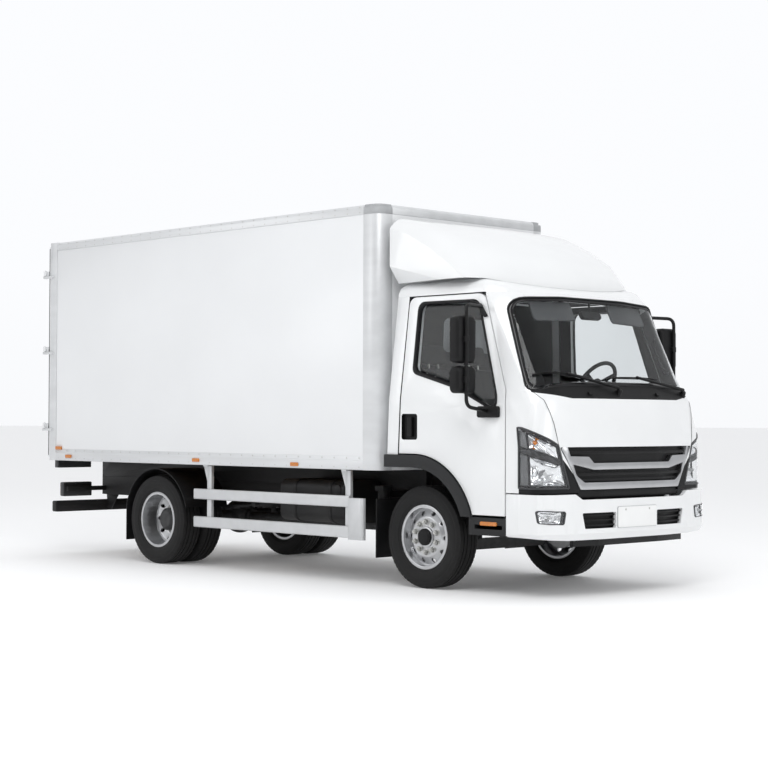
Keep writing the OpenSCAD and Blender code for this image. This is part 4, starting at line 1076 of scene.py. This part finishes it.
# the strip between a headlamp and the bumper is black, and so is the wedge; under the headlamps this black is
# painted shade that stands for the gap above the bumper
bm = solid_copy("cab_front")
creased(bm, (0, 0, LAMP_LOW), Vector((0, 0, 1)))
creased(bm, (NOSE + LAMP_REAR, 0, 0), Vector((1, 0, 0)))
# painted shade: the front's faces below the headlamps' lower edge are made black, across its whole width
blacken(bm, lambda c: c.z < LAMP_LOW and c.x > NOSE + LAMP_REAR)
for sign in SIDES.values():
    spot = Vector((0, sign * WEDGE_SPOT[0], WEDGE_SPOT[1]))
    normal = Vector((0, sign * WEDGE_NORMAL[0], WEDGE_NORMAL[1]))
    creased(bm, spot, normal)
    blacken(bm, lambda c: (c - spot).dot(normal) < 0 and WEDGE_INNER < c.y * sign < LAMP_SHOULDER)
reshape(reshaped_piece(bm, "cab_front", "paint"))
bm = solid_copy("bumper")
for vertex, below in creased(bm, (0, 0, BUMPER_BEVEL_Z), Vector((0, 0, 1))):
    vertex.co.x += below * BEVEL_LEAN
    share = faded(abs(vertex.co.y), BEVEL_FULL_Y, BUMPER_FLAT)
    vertex.co.y -= math.copysign(below * BEVEL_LEAN, vertex.co.y) * share
reshape(reshaped_piece(bm, "bumper", "paint"), *BUMPER_TARGET)
bm = solid_copy("roof_deflector")
for vertex, below in creased(bm, DEFLECTOR_CREASE, DEFLECTOR_TUCK_SIDE):
    share = faded(abs(vertex.co.y), TUCK_FULL_Y, TUCK_NONE_Y)
    vertex.co.y -= math.copysign(below * DEFLECTOR_TUCK, vertex.co.y) * share
reshaped_piece(bm, "roof_deflector", "paint")
for made in bpy.data.objects:
    if made.name.startswith(CAB_FRONT_PIECES):
        reshape(made)
    if made.name.startswith(BUMPER_PIECES):
        reshape(made, *BUMPER_TARGET)


# Mirrors and pulls on the doors

MIRROR_Y = 1.157
MIRROR_HALF = 0.095
# columns: lower edge, upper edge
MIRROR_HEADS = [(1.417, 1.604), (1.626, 1.954)]
# columns: forward of the front axle, inset from the head's edge
HEAD_RINGS = [(0.650, 0.014), (0.6505, 0.006), (0.655, 0.001), (0.665, 0.0), (0.712, 0.0), (0.724, 0.003),
              (0.731, 0.009), (0.735, 0.018), (0.737, 0.035), (0.738, 0.06)]
BEND_STEPS = 6
# corners of the tube in front of the heads: forward of the front axle, outward, up
MIRROR_TUBE = [(0.74, 0.955, 1.295), (0.752, 1.187, 1.325), (0.752, 1.187, 2.03), (0.63, 0.9, 2.035)]
# clamp that holds a head on the tube: forward of the front axle, outward, and its reach back and ahead
CLAMP = (0.744, 1.187)
CLAMP_BACK = Vector((0.012, 0.02, 0.022))
CLAMP_AHEAD = Vector((0.02, 0.02, 0.022))
# outlines on the door, forward of the front axle and up
TOP_BRACKET = [(0.53, 2.062), (0.525, 2.085), (0.62, 2.055), (0.687, 1.965), (0.665, 1.955), (0.6, 2.03)]
LOW_BRACKET = rounded_box(0.0975, 0.04, 0.016, (0.7475, 1.29))
PULL = rounded_box(0.02, 0.0725, 0.008, (-0.05, 1.1825))


def bent(corners, reach):
    """Path with its corners rounded, each bend starting at a reach from its corner."""
    points = [Vector(p) for p in corners]
    path = [points[0]]
    for before, corner, after in zip(points, points[1:], points[2:]):
        start = corner + (before - corner).normalized() * reach
        end = corner + (after - corner).normalized() * reach
        path += [start.lerp(corner, t).lerp(corner.lerp(end, t), t) for t in shares(0, 1, BEND_STEPS)]
    return path + [points[-1]]


def head_outline(sign, low, high, inset, radius):
    """Outline of a mirror head, shrunk on all sides."""
    middle = (sign * MIRROR_Y, (low + high) / 2)
    return rounded_box(MIRROR_HALF - inset[0], (high - low) / 2 - inset[1], radius, middle)


for side, sign in SIDES.items():
    def outward(u, v, w):
        """Point of an outline on the door: forward of the front axle, up, out from the skin."""
        return FRONT_AXLE + u, sign * (flank(v) + w), v

    heads, glass, arm = bmesh.new(), bmesh.new(), bmesh.new()
    tube(arm, [(FRONT_AXLE + x, sign * y, z) for x, y, z in bent(MIRROR_TUBE, 0.06)], 0.013, 14)
    for low, high in MIRROR_HEADS:
        rings = []
        for ahead, inset in HEAD_RINGS:
            outline = head_outline(sign, low, high, (inset, inset), max(0.012, 0.04 - inset / 2))
            rings.append([(FRONT_AXLE + ahead, y, z) for y, z in outline])
        verts = grid(heads, rings, closed_v=True)
        heads.faces.new(verts[0])
        heads.faces.new(verts[-1])
        outline = head_outline(sign, low, high, (0.014, 0.016), 0.028)
        prism(glass, outline, facing, FRONT_AXLE + 0.6475, FRONT_AXLE + 0.652)
        spot = Vector((FRONT_AXLE + CLAMP[0], sign * CLAMP[1], (low + high) / 2))
        box(arm, spot - CLAMP_BACK, spot + CLAMP_AHEAD)
    prism(arm, TOP_BRACKET, outward, 0.0005, 0.026)
    prism(arm, LOW_BRACKET, outward, 0.0005, 0.034)
    prism(arm, PULL, outward, -0.024, -0.002)
    door = f"cab_door_{side}"
    piece(heads, f"mirror_heads_{side}", door, BLACK, "black_plastic", [f"mirror_{side}"], angle=50)
    piece(glass, f"mirror_glass_{side}", door, MIRROR, "glass", bevel=0.001)
    piece(arm, f"mirror_arm_{side}", door, BLACK, "black_plastic", bevel=0.006)


# Seats

# columns: name, right edge, left edge
SEATS = [("driver", 0.16, 0.68), ("middle", -0.33, 0.10), ("passenger", -0.77, -0.34)]
SEAT_X = FRONT_AXLE + 0.06
SEAT_TILT = math.radians(8)
SEAT_HINGE = Vector((SEAT_X - 0.1, 0, 1.1))
HEADREST_HALF = 0.13
POST_OFFSET = 0.05
WAIST = 0.02
CHANNEL_PITCH = 0.13
CHANNEL_DEPTH = 0.006


def cushion(bm, low, high, crown):
    """Padded block: crowned faces, and sides pulled in between the corners."""
    middle, half = (low + high) / 2, (high - low) / 2
    bmesh.ops.create_cube(bm, size=2.0)
    bmesh.ops.subdivide_edges(bm, edges=bm.edges, cuts=23, use_grid_fill=True)
    for vert in bm.verts:
        p = vert.co
        q = [1 - abs(p[i]) ** 2.6 for i in range(3)]
        out = []
        for i in range(3):
            j, k = (i + 1) % 3, (i + 2) % 3
            swell = crown[i] * q[j] * q[k]
            corner = 1 - 0.16 * (abs(p[j]) ** 6 + abs(p[k]) ** 6) * 0.5
            pull = 1 - WAIST * q[j] * abs(p[i]) ** 8
            out.append(middle[i] + p[i] * (half[i] * corner * pull + swell))
        vert.co = out


def seat_pad(name, low, high, crown, pitch=CHANNEL_PITCH):
    """Padded piece with sewn channels at a pitch across the seat."""
    bm = bmesh.new()
    low, high = Vector(low), Vector(high)
    cushion(bm, low, high, crown)
    middle = (low + high) / 2
    for vert in bm.verts:
        across = (vert.co.y - middle.y) / pitch
        groove = max(0.0, 1 - abs(across - round(across)) / 0.06) if abs(across) < 1.6 else 0.0
        vert.co -= (vert.co - middle).normalized() * CHANNEL_DEPTH * groove
    made = piece(bm, name, "cab", FABRIC, "trim", angle=60)
    smoothing = made.modifiers.new("soft", "SUBSURF")
    smoothing.levels = 1
    smoothing.render_levels = 1
    return made


for name, right, left in SEATS:
    centre = (right + left) / 2
    base = seat_pad(f"{name}_seat_base", (SEAT_X - 0.13, right, 0.935), (SEAT_X + 0.365, left, 1.105),
                    (0.012, 0.006, 0.022))
    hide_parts("seats")
    back = seat_pad(f"{name}_seat_back", (SEAT_X - 0.22, right + 0.01, 1.10),
                    (SEAT_X - 0.10, left - 0.01, 1.625), (0.02, 0.006, 0.01))
    rest = seat_pad(f"{name}_headrest", (SEAT_X - 0.215, centre - HEADREST_HALF, 1.665),
                    (SEAT_X - 0.14, centre + HEADREST_HALF, 1.81), (0.012, 0.004, 0.004), pitch=1.0)
    lean = Matrix.Translation(SEAT_HINGE) @ Matrix.Rotation(-SEAT_TILT, 4, "Y")
    for pad in (back, rest):
        pad.data.transform(lean @ Matrix.Translation(-SEAT_HINGE))
    bm = bmesh.new()
    for y in (centre - POST_OFFSET, centre + POST_OFFSET):
        tube(bm, [(SEAT_X - 0.225, y, 1.58), (SEAT_X - 0.25, y, 1.72)], 0.007, 8)
    piece(bm, f"{name}_headrest_posts", "cab", ZINC, "bright")


# Cab interior

DASH_X = FRONT_AXLE + 0.7
# outlines inside the windscreen: across and up its slope
VISORS = [rounded_box(0.21, 0.075, 0.03, (y, 0.715)) for y in (0.42, -0.42)]
CAB_MIRROR = rounded_box(0.11, 0.03, 0.022, (0, 0.70))
GRAB_Y = 0.79
# path of a grab handle, columns: share of the distance across, up the screen's slope, out from the screen
GRAB_HANDLE = [(1, 0.28, -0.05), (1, 0.30, -0.085), (0.99, 0.45, -0.09), (0.98, 0.55, -0.085),
               (0.98, 0.57, -0.05)]
VENTS_Y = (-0.62, -0.16, 0.06, 0.66)
VENT_SLATS = [1.31 + 0.014 * k for k in range(5)]
VENT_FRAME = rounded_box(0.066, 0.04, 0.012, (0, 1.342))
RADIO_KNOBS_Y = (-0.11, 0.07)
KNOB = [(0, 0.016), (0.014, 0.014), (0.014, 0)]
# columns: across, radius
DIALS = [(0.33, 0.028), (0.42, 0.04), (0.51, 0.04)]

bm = bmesh.new()
for outline in VISORS:
    prism(bm, outline, screen_point, -0.055, -0.04)
piece(bm, "sun_visors", "cab", LINING, "trim", bevel=0.005)
bm = bmesh.new()
prism(bm, CAB_MIRROR, screen_point, -0.075, -0.045)
tube(bm, [screen_point(0, 0.73, -0.06), screen_point(0, 0.80, -0.02)], 0.009, 8)
piece(bm, "cab_mirror", "cab", BLACK, "black_plastic", bevel=0.006)
bm = bmesh.new()
for sign in SIDES.values():
    path = [screen_point(sign * GRAB_Y * share, up, out) for share, up, out in GRAB_HANDLE]
    tube(bm, path, 0.012, 10)
piece(bm, "grab_handles", "cab", DASH, "trim")
bm = bmesh.new()
for y in VENTS_Y:
    for z in VENT_SLATS:
        box(bm, (DASH_X - 0.002, y - 0.06, z), (DASH_X + 0.025, y + 0.06, z + 0.006))
    tube(bm, [(DASH_X + 0.005, y + u, z) for u, z in VENT_FRAME], 0.005, 6, closed=True)
box(bm, (DASH_X - 0.005, -0.14, 1.17), (DASH_X + 0.03, 0.10, 1.27))
for y in RADIO_KNOBS_Y:
    spun(bm, (DASH_X - 0.003, y, 1.22), (-1, 0, 0), KNOB, 18)
piece(bm, "dash_fittings", "cab", BLACK, "black_plastic", bevel=0.001)
bm = bmesh.new()
for y, radius in DIALS:
    profile = [(0, radius), (0.006, radius), (0.006, radius * 0.9), (0.002, radius * 0.88), (0.002, 0)]
    spun(bm, (DASH_X + 0.027, y, 1.435), (-1, 0, 0.25), profile, 24)
piece(bm, "instrument_dials", "cab", BEZEL, "trim")


# Rivets and rubber on the cargo box

HINGE_HEIGHTS = (BOX_LOW + 0.295, (BOX_LOW + BOX_TOP) / 2, BOX_TOP - 0.3)
HINGE_BOLTS_Y = (0.845, 0.885)
ROD_HOLDERS = (0.995, 1.32, 1.77, 2.72)
ROD_SCREWS_Y = (0.21, 0.25)
RIVET_ROWS = (BOX_LOW + 0.022, BOX_LOW + 0.09, BOX_TOP - 0.02, BOX_TOP - 0.06)
RIVETS = shares(BOX_REAR + 0.14, BOX_FRONT - 0.2, 29)

bm = bmesh.new()
for sign in SIDES.values():
    for z in RIVET_ROWS:
        for x in RIVETS:
            dome(bm, (x, sign * (BOX_HALF - 0.0005), z), (0, sign, 0), 0.0055, 0.003)
piece(bm, "box_rivets", "chassis", ZINC, "alloy", angle=60)
for side, sign in SIDES.items():
    bm = bmesh.new()
    outline = rounded_box(0.462, 0.962, 0.02, (sign * 0.470, (BOX_LOW + BOX_TOP) / 2))
    tube(bm, [(REAR_DOOR_FACE + 0.002, y, z) for y, z in divided(outline, 0.1)], 0.007, 6, closed=True)
    piece(bm, f"cargo_door_seal_{side}", f"cargo_door_{side}", SEAL, "trim")
    bm = bmesh.new()
    for z in HINGE_HEIGHTS:
        for y in HINGE_BOLTS_Y:
            nut(bm, (REAR_DOOR_FACE - 0.0005, sign * y, z + 0.0225), (-1, 0, 0), 0.013, 0.008)
    for z in ROD_HOLDERS:
        for y in ROD_SCREWS_Y:
            dome(bm, (REAR_DOOR_FACE - 0.0275, sign * y, z), (-1, 0, 0), 0.006, 0.003)
    piece(bm, f"cargo_door_bolts_{side}", f"cargo_door_{side}", ZINC, "bright")


# Tail lamp lenses

# columns: lower edge, upper edge, back
LOWER_LENS = (0.526, 0.644, FRONT_AXLE - 4.722)
UPPER_LENS = (0.795, 0.845, BOX_REAR - 0.004)
# columns: inner edge, outer edge, heights and back, finish, name
TAIL_LENSES = [(0.515, 0.605, LOWER_LENS, OPAL, "opal"), (0.611, 0.705, LOWER_LENS, AMBER, "amber"),
               (0.711, 0.815, LOWER_LENS, RED, "red"), (0.54, 0.64, UPPER_LENS, RED, "upper_red"),
               (0.70, 0.80, UPPER_LENS, AMBER, "upper_amber")]
for side, sign in SIDES.items():
    for inner, outer, (low, high, back), finish, name in TAIL_LENSES:
        bm = bmesh.new()
        middle = (sign * (inner + outer) / 2, (low + high) / 2)
        outline = rounded_box((outer - inner) / 2, (high - low) / 2, 0.012, middle)
        prism(bm, outline, facing, back + 0.004, back - 0.012)
        piece(bm, f"tail_lens_{name}_{side}", "chassis", finish, "red_lens", bevel=0.004)


# Floor, light and camera

FLOOR_SIZE = 600
# the room is brightest behind the truck as photographed, so dark trim stays dark
ROOM_COLOUR = (0.97, 0.98, 1.0, 1)
BRIGHT_SIDE = (-0.55, 0.53, 0.65)
DIM = 0.22
# columns: name, place, what it is aimed at, size, power
LIGHTS = [("key", (7.0, -7.0, 9.0), (0.5, 0, 1.2), 6.0, 480),
          ("side", (-5.0, -10.0, 5.0), (-1.0, 0, 1.2), 6.0, 150),
          ("front", (12.0, 1.0, 4.0), (2.5, 0, 1.2), 5.0, 160)]
EYE = Vector((10.755, -10.0176, 1.2243))
YAW = math.radians(45.761)
PITCH = math.radians(1.206)
ROLL = math.radians(0.1876)
SENSOR = 36.0
FOCAL_LENGTH = 82.3

bpy.ops.mesh.primitive_plane_add(size=FLOOR_SIZE)
ground = bpy.context.object
ground.name = "studio_floor"
ground.data.materials.append(FLOOR)

world = bpy.data.worlds.new("studio")
bpy.context.scene.world = world
world.use_nodes = True
sky = world.node_tree
towards = add(sky, "VectorMath", {"operation": "DOT_PRODUCT"})
sky.links.new(add(sky, "TexCoord").outputs["Generated"], towards.inputs[0])
towards.inputs[1].default_value = BRIGHT_SIDE
level = add(sky, "MapRange", Value=towards.outputs["Value"], From_Min=-0.8, From_Max=0.8, To_Min=DIM)
fill(sky, sky.nodes["Background"], {"Color": ROOM_COLOUR, "Strength": level.outputs["Result"]})
bpy.context.scene.view_settings.view_transform = "Standard"

# large soft lights
for name, place, target, size, power in LIGHTS:
    light = bpy.data.lights.new(name, "AREA")
    light.shape = "DISK"
    light.size = size
    light.energy = power
    made = bpy.data.objects.new(name, light)
    made.location = place
    made.rotation_euler = (Vector(target) - Vector(place)).to_track_quat("-Z", "Y").to_euler()
    bpy.context.collection.objects.link(made)

lens = bpy.data.cameras.new("photo_view")
lens.sensor_width = SENSOR
lens.lens = FOCAL_LENGTH
camera = bpy.data.objects.new("photo_view", lens)
bpy.context.collection.objects.link(camera)
turn = Matrix.Rotation(YAW, 4, "Z") @ Matrix.Rotation(math.pi / 2 + PITCH, 4, "X")
camera.matrix_world = Matrix.Translation(EYE) @ turn @ Matrix.Rotation(ROLL, 4, "Z")
bpy.context.scene.camera = camera
